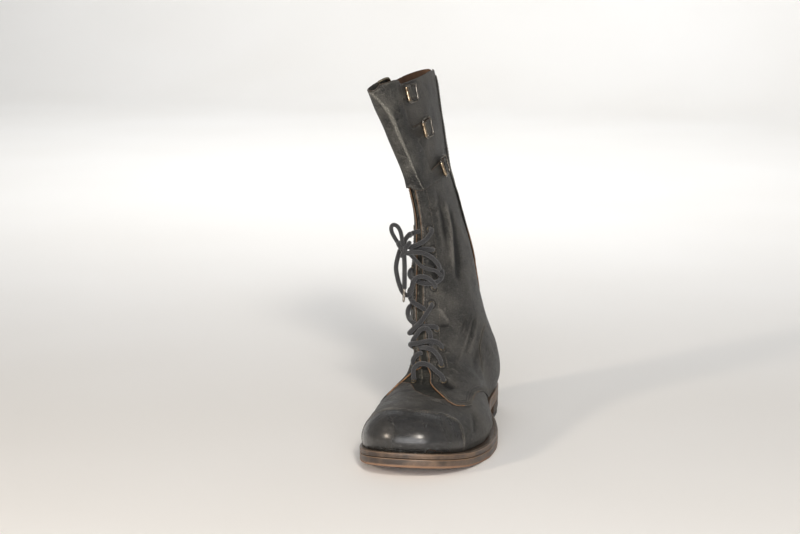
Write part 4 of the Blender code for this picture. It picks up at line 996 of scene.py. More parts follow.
def flesh_side(name, light, dark):
    """The soft brown inner side of leather, and the lining."""
    mat, shader, place = new_material(name, 0.85)
    stain = noise(place, 60.0, 4.0)
    nap = noise(place, 1500.0, 3.0)
    colour = mix(spread(stain, 0.3, 0.7), light, dark)
    paint(shader, mix(spread(nap, 0.4, 0.7, 0.0, 0.4), colour, dark))
    bump(shader, (nap, 0.0002, 0.5))
    return mat


BLACK = ((0.010, 0.0096, 0.0088), (0.050, 0.0475, 0.043), (0.18, 0.168, 0.148), 0.44)
BLACK_LEATHER = leather("black_leather", *BLACK)
SEAMED_LEATHER = leather("seamed_leather", *BLACK, grooves=(2.2, 4.6, 7.0))
# The groove half a millimetre inside the flap's edge is darkened: a painted shadow that outlines the flap and
# its tabs.
FLAP_LEATHER = leather("flap_leather", (0.008, 0.0077, 0.007), (0.036, 0.0345, 0.0315), (0.20, 0.19, 0.165),
                       0.42, grain=560.0, grain_depth=0.0006, wrinkle_wear_and_highlight=0.25, wrinkle_depth=0.0005,
                       grooves=(0.5,))
CAP_LEATHER = leather("polished_cap_leather", (0.008, 0.0075, 0.007), (0.018, 0.0165, 0.015),
                      (0.055, 0.049, 0.040), 0.25, grain=520.0, grain_depth=0.00045, wrinkle_wear_and_highlight=0.08,
                      wrinkle_depth=0.00002, mirror=0.45, polish=0.75, scuff_depth=0.00006)
TONGUE_LEATHER = leather("tongue_leather", (0.008, 0.008, 0.007), (0.026, 0.026, 0.022), (0.12, 0.112, 0.09),
                         0.62, bare=(0.24, 0.215, 0.155))
LINING = flesh_side("brown_lining", (0.105, 0.054, 0.028), (0.046, 0.023, 0.012))

# %% [markdown]
# ## Cutting leather from the surface
# A shoemaker cuts each piece along a curved line and lays it over the next. Here a
# piece is a fine grid on the boot's surface, cut where a field of distances passes
# zero: the field is millimetres from the cut line, positive inside the piece. Cutting
# by distance gives three things at once: a clean curved edge, a rounded corner along
# it, and the `edge` attribute for wear and painted shade. The line itself is given as
# a list of places.

# %% Cut lines and distance fields
class CutLine:
    """A cut edge or seam on the surface. Left is the side to the left of its travel, seen from outside."""

    def __init__(self, places, step=0.8):
        dense = smooth_line(places, step)
        self.t, self.v = boot.find(dense)
        self.points, self.normals = boot.place(self.t, self.v), boot.normal(self.t, self.v)
        self.left = unit(np.cross(self.normals, unit(np.gradient(self.points, axis=0))))

    def signed(self, points):
        """Millimetres from the line, positive on its left."""
        flat = points.reshape(-1, 3)
        out = np.empty(len(flat))
        line, way = self.points, np.diff(self.points, axis=0)
        for part in np.array_split(np.arange(len(flat)), 1 + len(flat) // 4000):
            p = flat[part]
            nearest = ((p[:, None] - line[None])**2).sum(2).argmin(1)
            best, side = np.full(len(p), 1e18), np.zeros(len(p))
            for shift in (-1, 0):
                k = np.clip(nearest + shift, 0, len(way) - 1)
                s = np.clip(((p - line[k]) * way[k]).sum(1) / (way[k]**2).sum(1), 0, 1)[:, None]
                off = p - (line[k] + s * way[k])
                left = self.left[k] * (1 - s) + self.left[k + 1] * s
                distance = np.linalg.norm(off, axis=1)
                closer = distance < best - 1e-9
                best = np.where(closer, distance, best)
                side = np.where(closer, (off * left).sum(1), side)
            out[part] = np.where(side > 0, best, -best)
        return out.reshape(points.shape[:-1])

    def beside(self, aside):
        """Points of a line a distance to the left of this one, on the surface."""
        return self.points + self.left * aside


def grid(t_from, t_to, rows, v_from, v_to, columns):
    """Places (t, v) in rows and columns. v_from and v_to may be functions of the level."""
    t = boot.level(np.linspace(boot.row(t_from), boot.row(t_to), rows))
    low, high = (np.broadcast_to(v(t) if callable(v) else v, t.shape) for v in (v_from, v_to))
    share = np.linspace(0, 1, columns)
    return t[:, None] + 0 * share, low[:, None] + (high - low)[:, None] * share


def cut_grid(t, v, field):
    """Triangles of a grid where the field is above 0, cut along 0. Gives t, v, field and triangles."""
    rows, columns = t.shape
    index = np.arange(rows * columns).reshape(rows, columns)
    a, b, c, d = index[:-1, :-1], index[:-1, 1:], index[1:, 1:], index[1:, :-1]
    triangles = np.concatenate([np.stack([a, b, c], -1).reshape(-1, 3),
                                np.stack([a, c, d], -1).reshape(-1, 3)])
    t, v, field = t.ravel(), v.ravel(), field.ravel()
    field = np.where(np.abs(field) < 0.03, 0.03, field)
    inside = field > 0
    count = inside[triangles].sum(1)
    kept = triangles[count == 3].tolist()
    made, crossing = [], {}

    def between(i, j):
        key = (min(i, j), max(i, j))
        if key not in crossing:
            i, j = key
            s = field[i] / (field[i] - field[j])
            crossing[key] = len(t) + len(made)
            made.append((t[i] + s * (t[j] - t[i]), v[i] + s * (v[j] - v[i])))
        return crossing[key]

    for three in triangles[(count > 0) & (count < 3)].tolist():
        ring = []
        for i, j in zip(three, three[1:] + three[:1]):
            if inside[i]:
                ring.append(i)
            if inside[i] != inside[j]:
                ring.append(between(i, j))
        kept += [[ring[0], ring[k], ring[k + 1]] for k in range(1, len(ring) - 1)]
    kept = np.array(kept)
    if made:
        extra = np.array(made)
        t, v = np.concatenate([t, extra[:, 0]]), np.concatenate([v, extra[:, 1]])
        field = np.concatenate([field, np.zeros(len(made))])
    used, kept = np.unique(kept, return_inverse=True)
    return t[used], v[used], field[used], kept.reshape(-1, 3)


def rims(triangles):
    """Closed rings of points round the triangles' outer edges, travelling with the piece on the left."""
    edges = np.concatenate([triangles[:, [0, 1]], triangles[:, [1, 2]], triangles[:, [2, 0]]])
    held = {(a, b) for a, b in edges.tolist()}
    after = {}
    for a, b in held:
        if (b, a) not in held:
            after.setdefault(a, []).append(b)
    rings = []
    while after:
        start = next(iter(after))
        ring, here = [start], start
        while True:
            ahead = after[here].pop()
            if not after[here]:
                del after[here]
            if ahead == start:
                break
            ring.append(ahead)
            here = ahead
        if len(ring) > 5:
            rings.append(ring)
    return rings


# %% From a cut grid to a piece of leather
def leather_piece(name, base, normal, edge, triangles, top, bottom, fold, raw, materials, corner=0.45):
    """A sheet with thickness: outer face, a rounded corner, the cut wall, and the inner face.

    base and normal give the surface, and top and bottom the lifts of both faces.
    """
    base, normal = base.reshape(-1, 3), normal.reshape(-1, 3)
    n = len(base)
    edge = edge.ravel()
    top, bottom = np.broadcast_to(np.ravel(top), n), np.broadcast_to(np.ravel(bottom), n)
    points = [base + normal * top[:, None], base + normal * bottom[:, None]]
    faces = [triangles, triangles[:, ::-1] + n]
    slots = [np.zeros(len(triangles), int), np.ones(len(triangles), int)]
    attributes = {"edge": [edge, edge], "raw": [raw, raw], "fold": [fold, fold]}
    total = 2 * n
    turns = np.radians([25, 55, 90])
    for ring in rims(triangles):
        ring = np.array(ring)
        way = np.roll(base[ring], -1, axis=0) - base[ring]
        for _ in range(3):
            way = (np.roll(way, 1, axis=0) + 2 * way + np.roll(way, -1, axis=0)) / 4
        way = unit(way + np.roll(way, 1, axis=0))
        out = unit(np.cross(way, normal[ring]))
        r = np.minimum(corner, (top[ring] - bottom[ring])[:, None] * 0.45)
        steps = [(out * r * math.sin(a), -r * (1 - math.cos(a)), -0.1 - k * 0.2) for k, a in enumerate(turns)]
        levels = [points[0][ring] + move + normal[ring] * drop for move, drop, _ in steps]
        levels.append(points[1][ring] + out * r)
        marks = [mark for _, _, mark in steps] + [-1.0]
        before = ring
        for k, (level, mark) in enumerate(zip(levels, marks)):
            here = total + np.arange(len(ring))
            points.append(level)
            attributes["edge"].append(np.full(len(ring), mark))
            attributes["raw"].append(raw[ring])
            attributes["fold"].append(fold[ring])
            faces.append(np.stack([np.roll(before, -1), before, here, np.roll(here, -1)], -1))
            slots.append(np.zeros(len(ring), int))
            total += len(ring)
            before = here
        faces.append(np.stack([np.roll(before, -1), before, ring + n, np.roll(ring + n, -1)], -1))
        slots.append(np.ones(len(ring), int))
    listed = [face for group in faces for face in group.tolist()]
    piece = new_piece(name, np.concatenate(points), listed, *materials, sharp=70)
    piece.data.polygons.foreach_set("material_index", np.concatenate(slots).astype(np.int32))
    for key, values in attributes.items():
        attribute = piece.data.attributes.new(key, "FLOAT", "POINT")
        attribute.data.foreach_set("value", np.concatenate(values).astype(np.float32))
    return piece


# How far the worn collar has risen or sunk above its plain cut: v, mm
COLLAR_RISE = ((-1, 0), (-0.75, -1.5), (-0.5, -3), (-0.3, -2), (-0.1, 0), (0.1, 1), (0.25, 3), (0.5, 3.4),
    (0.75, 3.2), (0.9, 0.5), (1, 0))


def stretched(t, v, rises=COLLAR_RISE, start=0.93):
    """The surface with its top band drawn up along itself, by a table of v, mm."""
    up = unit(boot.place(0 * t + 1.0, v) - boot.place(0 * t + 0.96, v))
    return boot.place(t, v) + up * (table(rises, v) * smooth((t - start) / (1 - start)))[..., None]


def sheet(name, places, field, top, bottom, materials, raw=0.0, corner=0.45):
    """Leather cut from the boot's surface. top, bottom and raw may be functions of (t, v, points)."""
    t, v, edge, triangles = cut_grid(*places, field - corner)
    base = stretched(t, v)
    fold = boot.fold(t, v)
    value = lambda f: f(t, v, base) if callable(f) else f
    raw = np.broadcast_to(value(raw), t.shape)
    return leather_piece(name, base, boot.normal(t, v), edge + corner, triangles, value(top) + fold,
                         value(bottom) + fold, fold, raw, materials, corner)


def aside_of(t, v):
    """Millimetres from the front ridge."""
    return np.abs(v) * boot.girth(t)


def smaller(*fields):
    """The inside of all fields together."""
    return functools.reduce(np.minimum, fields)


# %% Where the pieces are cut
RIDGE = boot.place(np.linspace(1.0, 0.44, 24), np.zeros(24))       # down the middle of the throat
# Outer quarter: down from the throat, a cusp beside the vamp, and the long arch to the heel
OUTER_CUT = CutLine((*RIDGE, (-7, -139, 71), (-4.5, -150, 64.4), (1.8, -161, 61.4), (7, -168, 59.7),
    (12, -174, 58), (17, -179, 56), (22, -182, 54), (26, -182.5, 52.4), (31.5, -177, 50.4), (36, -171, 49),
    (39, -165, 48.3), (38.6, -158, 49.8), (38, -149, 51.7), (38, -139, 53), (38.5, -130, 52.3),
    (39.5, -118, 49.6), (40.5, -107, 46), (41.5, -95, 41), (41.5, -80, 35.5), (40.5, -65, 30.5),
    (39.5, -52, 26), (39, -44, 22)))
INNER_CUT = CutLine(((-42, -60, 20), (-42, -84, 36), (-41, -104, 46), (-42, -120, 49), (-47, -138, 46.5),
    (-52, -152, 42.5), (-51, -157, 43.5), (-48, -156, 47), (-44, -150, 52.6), (-39, -146, 56.9),
    (-34, -145, 60.9), (-28, -140, 66.2), (-23, -136, 70.7), (-17.6, -134, 72.6), *RIDGE[::-1]))
CAP_CUT = CutLine(((41.5, -217, 14), (41, -214.6, 23), (39.7, -212.4, 33.7), (36, -207.8, 41.3),
    (28.5, -208.8, 47.6), (23.8, -210.3, 50), (14, -215, 53), (3.3, -220, 55), (-9, -222.5, 55.8),
    (-20, -221.5, 56), (-28, -220.3, 55.6), (-36, -218.8, 53), (-41.4, -218, 49.8), (-50, -215.5, 43),
    (-56, -213.5, 34), (-58, -213, 24), (-58, -213, 14)))
VAMP_CUT = CutLine(((46, -30, 20), (42, -50, 36), (40, -75, 46), (38, -95, 52), (36, -112, 57),
    (34, -130, 60), (30, -145, 60), (24, -165, 57.5), (17, -176, 56), (11.6, -180.6, 57),
    (6.7, -180.8, 57.9), (0, -179, 59), (-5.9, -176, 59.6), (-10, -173, 60), (-14, -169, 60.6),
    (-19, -159.5, 62), (-25, -150, 63.3), (-30, -146.6, 62.6), (-35, -142, 60), (-42, -130, 57),
    (-42, -110, 56), (-40, -90, 48), (-40, -70, 34), (-42, -55, 20)))
print("cut lines:", [len(line.points) for line in (OUTER_CUT, INNER_CUT, CAP_CUT, VAMP_CUT)], "points each")

# %% [markdown]
# ## The layers of the upper
# From the inside out: the brown lining, the vamp over the forefoot, the two quarters
# that wrap the ankle and run up as the shaft, and the toe cap. The quarters lie over
# the vamp and are stitched down, which is the open-laced pattern that work and
# riding boots use. Each layer is lifted a little more than the one below.

# %% Lining and vamp
def make_lining():
    t, v = grid(0.0, 1.0, 240, -1.0, 1.0, 161)
    field = smaller(np.where(t > THROAT_T, aside_of(t, v) - table(THROAT, t) + 1.0, 9.0), (1 - t) * 300 + 0.6)
    t, v, edge, triangles = cut_grid(t, v, field)
    base, normal = stretched(t, v), boot.normal(t, v)
    fold = boot.fold(t, v)
    piece = leather_piece("lining", base, normal, edge, triangles, fold - 2.2, fold - 3.0, fold, 0 * t,
                          (TONGUE_LEATHER, LINING), 0.3)
    weld(piece.data, 0.02, outward=False)
    return settle(piece, "black_leather", "upper")


def make_vamp():
    places = grid(0.0, 0.46, 190, -0.92, 0.92, 230)
    points = boot.place(*places)
    field = smaller(VAMP_CUT.signed(points), 12.0 - CAP_CUT.signed(points))

    def pressed(t, v, p):
        """Where a quarter lies over it, the vamp sits a little deeper."""
        return -0.72 - 0.9 * smooth((np.maximum(OUTER_CUT.signed(p), INNER_CUT.signed(p)) - 0.6) / 2.5)

    piece = sheet("vamp", places, field, pressed, -1.9, (BLACK_LEATHER, LINING), corner=0.25,
                  raw=lambda t, v, p: np.where(p[:, 2] > 54, 0.7, 0.12))
    return settle(piece, "black_leather")


make_lining()
make_vamp()


# %% Quarters
EYELET_HOLE = 2.2


def make_quarter(name, side, cut, eyelets):
    """One side of the ankle and shaft, with its eyelet holes. side is 1 outside and -1 inside."""
    t, v = grid(0.0, 1.0, 310, 0.0, lambda t: 1 - 0.6 / boot.girth(t), 128)
    if side < 0:
        v = -v[:, ::-1]
    points = boot.place(t, v)
    field = cut.signed(points) - table(THROAT, t) * smooth((t - 0.40) / 0.05)
    for t0, v0 in zip(*lace_place(eyelets)):
        field = smaller(field, np.linalg.norm(points - boot.place(t0, v0), axis=-1) - EYELET_HOLE)

    def bare_edge(t, v, p):
        """The cut is bare from the throat down to the cusp, and half bare on the facing."""
        facing = np.where(aside_of(t, v) < 9, 0.45, 0.0)
        return np.where(p[:, 1] < -126, np.where(p[:, 1] > -176, 1.0, 0.5), facing) * (p[:, 2] > 50)

    piece = sheet(name, (t, v), field, 0.25, -0.68, (SEAMED_LEATHER, LINING), raw=bare_edge)
    return settle(piece, "black_leather")


make_quarter("quarter_outer", 1, OUTER_CUT, OUTER_EYELETS)
make_quarter("quarter_inner", -1, INNER_CUT, INNER_EYELETS)


# %% Toe cap
def make_cap():
    places = grid(0.004, 0.33, 80, -0.46, 0.46, 230)
    field = CAP_CUT.signed(boot.place(*places))
    piece = sheet("cap", places, field, 0.75, -0.66, (CAP_LEATHER, LINING), raw=0.3, corner=0.6)
    return settle(piece, "toe_cap_leather", "toe_cap")


make_cap()

# %% [markdown]
# ## Tongue, back strip and leg flap
# The tongue lies under the facings and rolls forward over the collar. The back strip
# covers the seam at the back, and has come loose along its edges. The leg flap is a
# cuff of thick leather: it is sewn down on the inner side, creased sharply where it
# was folded round the front, and ends in three tabs. One field of distances cuts the
# flap and its tabs together, and a soft union rounds the hollows between them.

# %% Tongue
# How the tongue's top edge rolls forward: millimetres up, millimetres forward, and how far it tips
TONGUE_ROLL = ((2.5, 0, 0), (5, 0, 0.1), (7.5, 0.3, 0.2), (9.8, 0.8, 0.4), (11.8, 1.6, 0.7),
    (13.2, 2.8, 1.2), (13.9, 4.3, 2), (13.9, 5.8, 3.5))


def plain_triangles(rows, columns):
    flat = np.zeros((rows, columns))
    return cut_grid(flat, flat, flat + 1)[3]


def make_tongue():
    rows, columns = 130, 34
    t, v = grid(0.295, 1.0, rows, lambda t: -(17 - 14 * smooth((t - 0.86) / 0.12)) / boot.girth(t),
                lambda t: (17 + 3 * smooth((t - 0.86) / 0.12)) / boot.girth(t), columns)
    depth = 3.4 + 0.6 * (1 - smooth((t - THROAT_T) / 0.12))
    face = boot.place(t, v) - boot.normal(t, v) * depth[..., None]
    ripple = 0.5 * np.sin(t * 190) * smooth(1 - np.abs(v * boot.girth(t)) / 17)
    face = face + boot.normal(t, v) * ripple[..., None]
    normal = boot.normal(t, v)
    up = unit(face[-1] - face[-4])
    # The top edge stands over the collar and rolls forward
    for rise, roll, tip in TONGUE_ROLL:
        sag = (1 - np.cos(np.linspace(-1, 1, columns) * math.pi / 2))[:, None] * rise * 0.42
        ring = face[rows - 1] + up * (rise - sag) + normal[rows - 1] * (roll - sag)
        face = np.concatenate([face, ring[None]])
        normal = np.concatenate([normal, unit(normal[rows - 1] + up * tip)[None]])
    total = face.shape[0]
    across = np.minimum(np.arange(columns), columns - 1 - np.arange(columns)) * 1.0
    down = (total - 1 - np.arange(total)) * 1.3
    edge = np.minimum(across[None, :], down[:, None])
    bare = ((np.arange(total) > total - 4)[:, None] + 0 * across).ravel()
    piece = leather_piece("tongue_piece", face, normal, edge, plain_triangles(total, columns), 0.0, -1.7,
                          0 * bare, bare, (TONGUE_LEATHER, LINING))
    return settle(piece, "black_leather", "tongue")


make_tongue()


# %% Back strip
# Its half-width, from the back seam: t, mm
BACK_STRIP = ((0.455, 17), (0.52, 19.5), (0.6, 21), (0.7, 20), (0.8, 18.5), (0.9, 17.5), (0.99, 17))


def ragged(t, v, seed=3):
    """A torn edge's in and out, in millimetres, for places along it."""
    rng = np.random.default_rng(seed)
    total = 0 * t
    for frequency in (90, 210, 430, 900):
        total = total + np.sin(t * frequency + v * 40 + rng.uniform(0, 6.3)) * 34 / frequency
    return total


def make_back_strip():
    t, v = grid(0.45, 0.995, 190, lambda t: 1 - 24 / boot.girth(t), lambda t: 1 + 24 / boot.girth(t), 60)
    aside = np.abs(v - 1) * boot.girth(t)
    field = smaller(table(BACK_STRIP, t) - aside + ragged(t, v), (t - 0.455) * 380 + ragged(v * 0.2, t),
                    (0.99 - t) * 400)

    def loose(t, v, p):
        """It stands off where its edge has come unstitched."""
        off = table(BACK_STRIP, t) - np.abs(v - 1) * boot.girth(t)
        return 0.35 + 0.7 * smooth(1 - off / 5) * smooth((t - 0.46) / 0.05) * smooth((0.82 - t) / 0.08)

    piece = sheet("back_strip", (t, v), field, lambda *a: loose(*a) + 1.1, loose, (BLACK_LEATHER, LINING),
                  raw=lambda t, v, p: 0.6 * smooth((0.68 - t) / 0.05))
    return settle(piece, "black_leather", "backstay")


make_back_strip()

# %% Leg flap with its tabs
#        t     inner_v  outer_v  crease_v  stand-off
FLAP = ((0.831, -0.5, 0.3, 0.095, 0.4), (0.843, -0.5, 0.29, 0.072, 0.6), (0.861, -0.51, 0.28, 0.048, 0.9),
        (0.88, -0.51, 0.262, 0.037, 1.3), (0.899, -0.52, 0.235, 0.033, 1.8),
        (0.915, -0.52, 0.195, 0.029, 2.3), (0.932, -0.52, 0.165, 0.024, 3), (0.953, -0.53, 0.147, 0.021, 4),
        (0.965, -0.53, 0.148, 0.016, 5), (0.98, -0.53, 0.158, -0.004, 6), (0.994, -0.53, 0.168, -0.03, 6.8))
FLAP_FOOT = ((-0.6, 0.832), (-0.06, 0.838), (-0.003, 0.841), (0.02, 0.836), (0.108, 0.83), (0.194, 0.828),
    (0.301, 0.826), (0.402, 0.82), (0.488, 0.814), (0.8, 0.8))
# How far the flap stands above the collar: v, mm
FLAP_RISE = ((-0.56, 0), (-0.45, 4), (-0.3, 8), (-0.1, 8), (0, 8.6), (0.1, 9.2), (0.15, 8), (0.18, 4),
    (0.3, 1), (0.5, 0))
# Buckles: level, place, and how far in front of each the tab leaves the flap
BUCKLES = ((0.989, 0.275, 20), (0.924, 0.375, 24), (0.8365, 0.57, 24))
# A tab goes under the roller, over the middle bar and under the rear bar: aside, lift of its underside
TAB_ROUTE = ((-40, 1), (-12, 1), (-7, 0.6), (-2.5, 1.9), (0, 3.3), (2.5, 2.9), (7, 2), (11, 1.9), (15, 1.9))
TAB_HALF, TAB_TIP = 7.0, 14.0
HOLLOW = 5.0                                   # how widely the corner between flap and tab is rounded
FLAP_THICK, TAB_THICK = 1.6, 1.5
CLIMB = 440                                    # millimetres up the shaft per unit of t, near the collar


def flap_shape(t, v):
    """Distance inside the flap and its tabs, and the lift and thickness there."""
    inner, outer, crease, stand = (table(FLAP, t, k) for k in (1, 2, 3, 4))
    girth = boot.girth(t)
    body = smaller((v - inner) * girth, (outer - v) * girth * 0.8, (t - 0.80) * CLIMB, (0.994 - t) * CLIMB)
    # On the inner side it comes back to the shaft at once, except near the top
    hug = 1.0 + 2.6 * smooth((0.968 - t) / 0.03)
    tent = np.where(v < 0, smooth(1.05 * np.clip(1 - hug * v / inner, 0, 1)),
                    np.where(v < crease, 1.0, 1 - 0.75 * (v - crease) / (outer - crease)))
    lift = 0.45 + 0.6 * smooth((v - crease) / 0.05) + stand * np.clip(tent, 0, 1)
    thick = FLAP_THICK + 0 * t
    for t0, v0, root in BUCKLES:
        aside, up = boot.in_patch(t0, v0, t, v)
        half = TAB_HALF * (1 - 0.62 * smooth((aside - 9) / 5))
        tab = smaller(half - np.abs(up), TAB_TIP - aside, aside + root + 16)
        rounding = np.maximum(HOLLOW - np.abs(body - tab), 0)**2 / (4 * HOLLOW)
        body = np.maximum(body, tab) + rounding * (aside < -8)
        on_tab = smooth((aside + 17) / 6) * (np.abs(up) < 12)
        lift = lift + (table(TAB_ROUTE, aside) - lift) * on_tab
        thick = thick + (TAB_THICK - FLAP_THICK) * on_tab
    return smaller(body, (t - table(FLAP_FOOT, v)) * CLIMB, (1.006 - t) * CLIMB), lift, thick


def flap_wave(t, v):
    """The flap's loose inner side waves a little, in millimetres."""
    return 0.5 * np.sin(v * 26 + t * 30) * (v < 0)


def make_flap():
    t, share = grid(0.805, 1.0, 130, 0.0, 1.0, 235)
    v = np.interp(share, (0, 0.27, 0.62, 1), (-0.56, -0.05, 0.12, 0.76))       # finer along the crease
    body = flap_shape(t, v)[0]
    t, v, edge, triangles = cut_grid(t, v, body - 0.6)
    _, lift, thick = flap_shape(t, v)
    base, normal = stretched(t, v, FLAP_RISE), boot.normal(t, v)
    fold = boot.fold(t, v) * 0.3
    crease = np.exp(-((v - table(FLAP, t, 3)) * boot.girth(t) / 0.9)**2) * (t > 0.82)
    wave = flap_wave(t, v) * smooth(edge / 8)
    # The crease is added to the fold attribute, so the material lightens it: wear, and a painted highlight
    # along the crease.
    piece = leather_piece("flap", base, normal, edge + 0.6, triangles, lift + thick + wave + 0.9 * crease,
                          lift + wave, fold + 2.2 * crease, 0.12 + 0 * t, (FLAP_LEATHER, TONGUE_LEATHER), 0.6)
    return settle(piece, "black_leather", "leg_flap")


make_flap()

# %% [markdown]
# ## Buckles
# Each tab closes on a roller buckle: a wire frame with a bar across its middle, and a
# brass sleeve that turns on its front bar so that the strap slides over it. A short
# doubled strip of leather holds the middle bar and is sewn to the shaft behind it.

# %% Buckles and the strips that hold them
HALF_WIDE, HALF_LONG, WIRE, ROLLER = 9.3, 8.0, 0.85, 1.9
BAR_LIFT, ROLLER_LIFT, REAR_LIFT = 2.0, 4.5, 4.9


def ring_mesh(path, radius, sides=12):
    """A tube round a closed path."""
    ahead = unit(np.roll(path, -1, axis=0) - np.roll(path, 1, axis=0))
    plane = np.linalg.svd(path - path.mean(0))[2][2]
    side = unit(np.cross(ahead, plane))
    turn = ((np.arange(sides) + 0.5) * math.tau / sides)[None, :, None]
    points = path[:, None] + radius * (np.cos(turn) * side[:, None]
                                       + np.sin(turn) * np.cross(ahead, side)[:, None])
    return points.reshape(-1, 3), ring_faces(len(path), sides, closed=True)


def make_buckle(k, t0, v0):
    def place(route):
        route = np.asarray(route, float)
        return boot.patch(t0, v0, route[:, 0], route[:, 1], route[:, 2])

    w, l, c = HALF_WIDE, HALF_LONG, 2.2
    half = [(l, 0, REAR_LIFT), (l, w - c, REAR_LIFT), (l - 0.65, w - 0.65, REAR_LIFT - 0.05),
            (l - c, w, REAR_LIFT - 0.2), (0, w, 3.4), (c - l, w, ROLLER_LIFT - 0.3),
            (0.65 - l, w - 0.65, ROLLER_LIFT - 0.1), (-l, w - c, ROLLER_LIFT), (-l, 0, ROLLER_LIFT)]
    corners = half + [(a, -b, lift) for a, b, lift in half[-2:0:-1]]
    loop = smooth_line(place(corners + corners[:1]), 0.8)[:-1]
    points, faces = ring_mesh(loop, WIRE)
    bar_route = [(0, -w, 3.2), (0, 1.4 - w, BAR_LIFT + 0.2), (0, 0, BAR_LIFT), (0, w - 1.4, BAR_LIFT + 0.2),
                 (0, w, 3.2)]
    bar, bar_faces, _ = tube_mesh(smooth_line(place(bar_route), 1.0), WIRE * 0.9, 10)
    faces += [[len(points) + i for i in face] for face in bar_faces]
    settle(new_piece(f"buckle_wire_{k}", np.concatenate([points, bar]), faces, DULL_STEEL, merge=0.001),
           "dull_steel", f"buckle_{k}_frame")
    a, b = place([(-l, -6.9, ROLLER_LIFT), (-l, 6.9, ROLLER_LIFT)])
    axis = unit(b - a)
    side = unit(np.cross(axis, (0.2, 0.1, 0.97)))
    turn = (np.arange(24) * math.tau / 24)[:, None]
    rim = np.cos(turn) * side + np.sin(turn) * np.cross(axis, side)
    # The sleeve has rolled edges and a slight waist from wear
    profile = ((0, 1.15), (0, 1.7), (0.3, ROLLER), (3.0, ROLLER - 0.12), (6.9, ROLLER - 0.2),
               (10.8, ROLLER - 0.12), (13.5, ROLLER), (13.8, 1.7), (13.8, 1.15))
    points = np.concatenate([a + axis * x + rim * r for x, r in profile])
    faces = ring_faces(len(profile), len(turn), closed=True)
    settle(new_piece(f"buckle_sleeve_{k}", points, faces, WORN_BRASS, merge=0.001),
           "worn_brass", f"buckle_{k}_roller")


def make_holder(k, t0, v0):
    """The strip behind each buckle, a little wider at its sewn end."""
    aside, up = np.meshgrid(np.linspace(1.6, 16, 26), np.linspace(-1, 1, 22), indexing="ij")
    half = 6.0 + 0.5 * smooth((aside - 4) / 8)
    lift = 1.6 + 0.5 * np.exp(-((aside - 2) / 2.5)**2)
    base = boot.patch(t0, v0, aside, up * half)
    normal = unit(np.cross(np.gradient(base, axis=0), np.gradient(base, axis=1)))
    edge = smaller(half * (1 - np.abs(up)), 16.4 - aside, aside - 1.0)
    flat = 0 * edge.ravel()
    piece = leather_piece(f"buckle_holder_{k}", base, normal, edge, plain_triangles(*aside.shape), lift, 0.4,
                          flat, flat + 0.4, (BLACK_LEATHER, LINING), 0.4)
    return settle(piece, "black_leather", f"buckle_{k}_chape")


for number, (level, way, _) in enumerate(BUCKLES, 1):
    make_holder(number, level, way)
    make_buckle(number, level, way)

# %% [markdown]
# ## Eyelets
# A brass eyelet is a short tube whose rim is rolled flat against the leather. There
# are eighteen, all alike, so a Geometry Nodes tree puts one ring at each mark. The
# marks are the points of a small guide mesh, which also carries the direction that
# each eyelet faces. The tree's inputs are the ring's sizes.

# %% Geometry Nodes helpers
def growth_tree(name, sizes):
    """A tree with a geometry input and output and one named number input per size."""
    tree = bpy.data.node_groups.new(name, "GeometryNodeTree")
    tree.interface.new_socket("Guide", in_out="INPUT", socket_type="NodeSocketGeometry")
    for label, value in sizes.items():
        socket = tree.interface.new_socket(label, in_out="INPUT", socket_type="NodeSocketFloat")
        socket.default_value = value
    tree.interface.new_socket("Geometry", in_out="OUTPUT", socket_type="NodeSocketGeometry")
    return tree, tree.nodes.new("NodeGroupInput").outputs


def lay_out(tree, points, item, along, wander, seed, mat):
    """An item on every point, facing the guide's own up direction and turned a little by chance.

    along is the direction of the item's x, or None, and wander the largest chance
    turn about x, y and z. The copies are made real and get their material.
    """
    up = add(tree, "GeometryNodeInputNamedAttribute", {"Name": "up"}, data_type="FLOAT_VECTOR")
    turn = output(tree, "FunctionNodeAlignRotationToVector", {"Vector": up.outputs["Attribute"]}, axis="Z")
    if along:
        turn = output(tree, "FunctionNodeAlignRotationToVector", {"Rotation": turn, "Vector": along},
                   axis="X", pivot_axis="Z")
    high = output(tree, "ShaderNodeCombineXYZ", dict(zip("XYZ", wander)))
    low = output(tree, "ShaderNodeVectorMath", {0: high, "Scale": -1.0}, operation="SCALE")
    chance = output(tree, "FunctionNodeRandomValue", {0: low, 1: high, "Seed": seed},
                 data_type="FLOAT_VECTOR")
    turn = output(tree, "FunctionNodeRotateRotation", {"Rotation": turn, "Rotate By": chance},
               rotation_space="LOCAL")
    copies = add(tree, "GeometryNodeInstanceOnPoints", {"Points": points, "Instance": item, "Rotation": turn})
    real = output(tree, "GeometryNodeRealizeInstances", {"Geometry": copies.outputs[0]})
    painted = output(tree, "GeometryNodeSetMaterial", {"Geometry": real, "Material": mat})
    tree.links.new(painted, tree.nodes.new("NodeGroupOutput").inputs[0])
    return tree


def guide_mesh(name, lines, normals):
    """Lines of points, each with the direction it faces."""
    mesh = bpy.data.meshes.new(name)
    edges, start = [], 0
    for line in lines:
        edges += [(start + i, start + i + 1) for i in range(len(line) - 1)]
        start += len(line)
    mesh.from_pydata((np.concatenate(lines) * MM).tolist(), edges, [])
    up = mesh.attributes.new("up", "FLOAT_VECTOR", "POINT")
    up.data.foreach_set("vector", np.concatenate(normals).astype(np.float32).ravel())
    return show(name, mesh)


def grow(obj, tree, mat, **sizes):
    """Runs the tree on the guide and keeps the result as the object's own mesh."""
    step = obj.modifiers.new("grow", "NODES")
    step.node_group = tree
    for item in tree.interface.items_tree:
        if item.in_out == "INPUT" and item.name in sizes:
            step[item.identifier] = sizes[item.name]
    bpy.context.view_layer.update()
    mesh = bpy.data.meshes.new_from_object(obj.evaluated_get(bpy.context.evaluated_depsgraph_get()))
    obj.modifiers.remove(step)
    obj.data = mesh
    mesh.name = obj.name
    mesh.materials.clear()
    mesh.materials.append(mat)
    mesh.shade_smooth()
    return obj


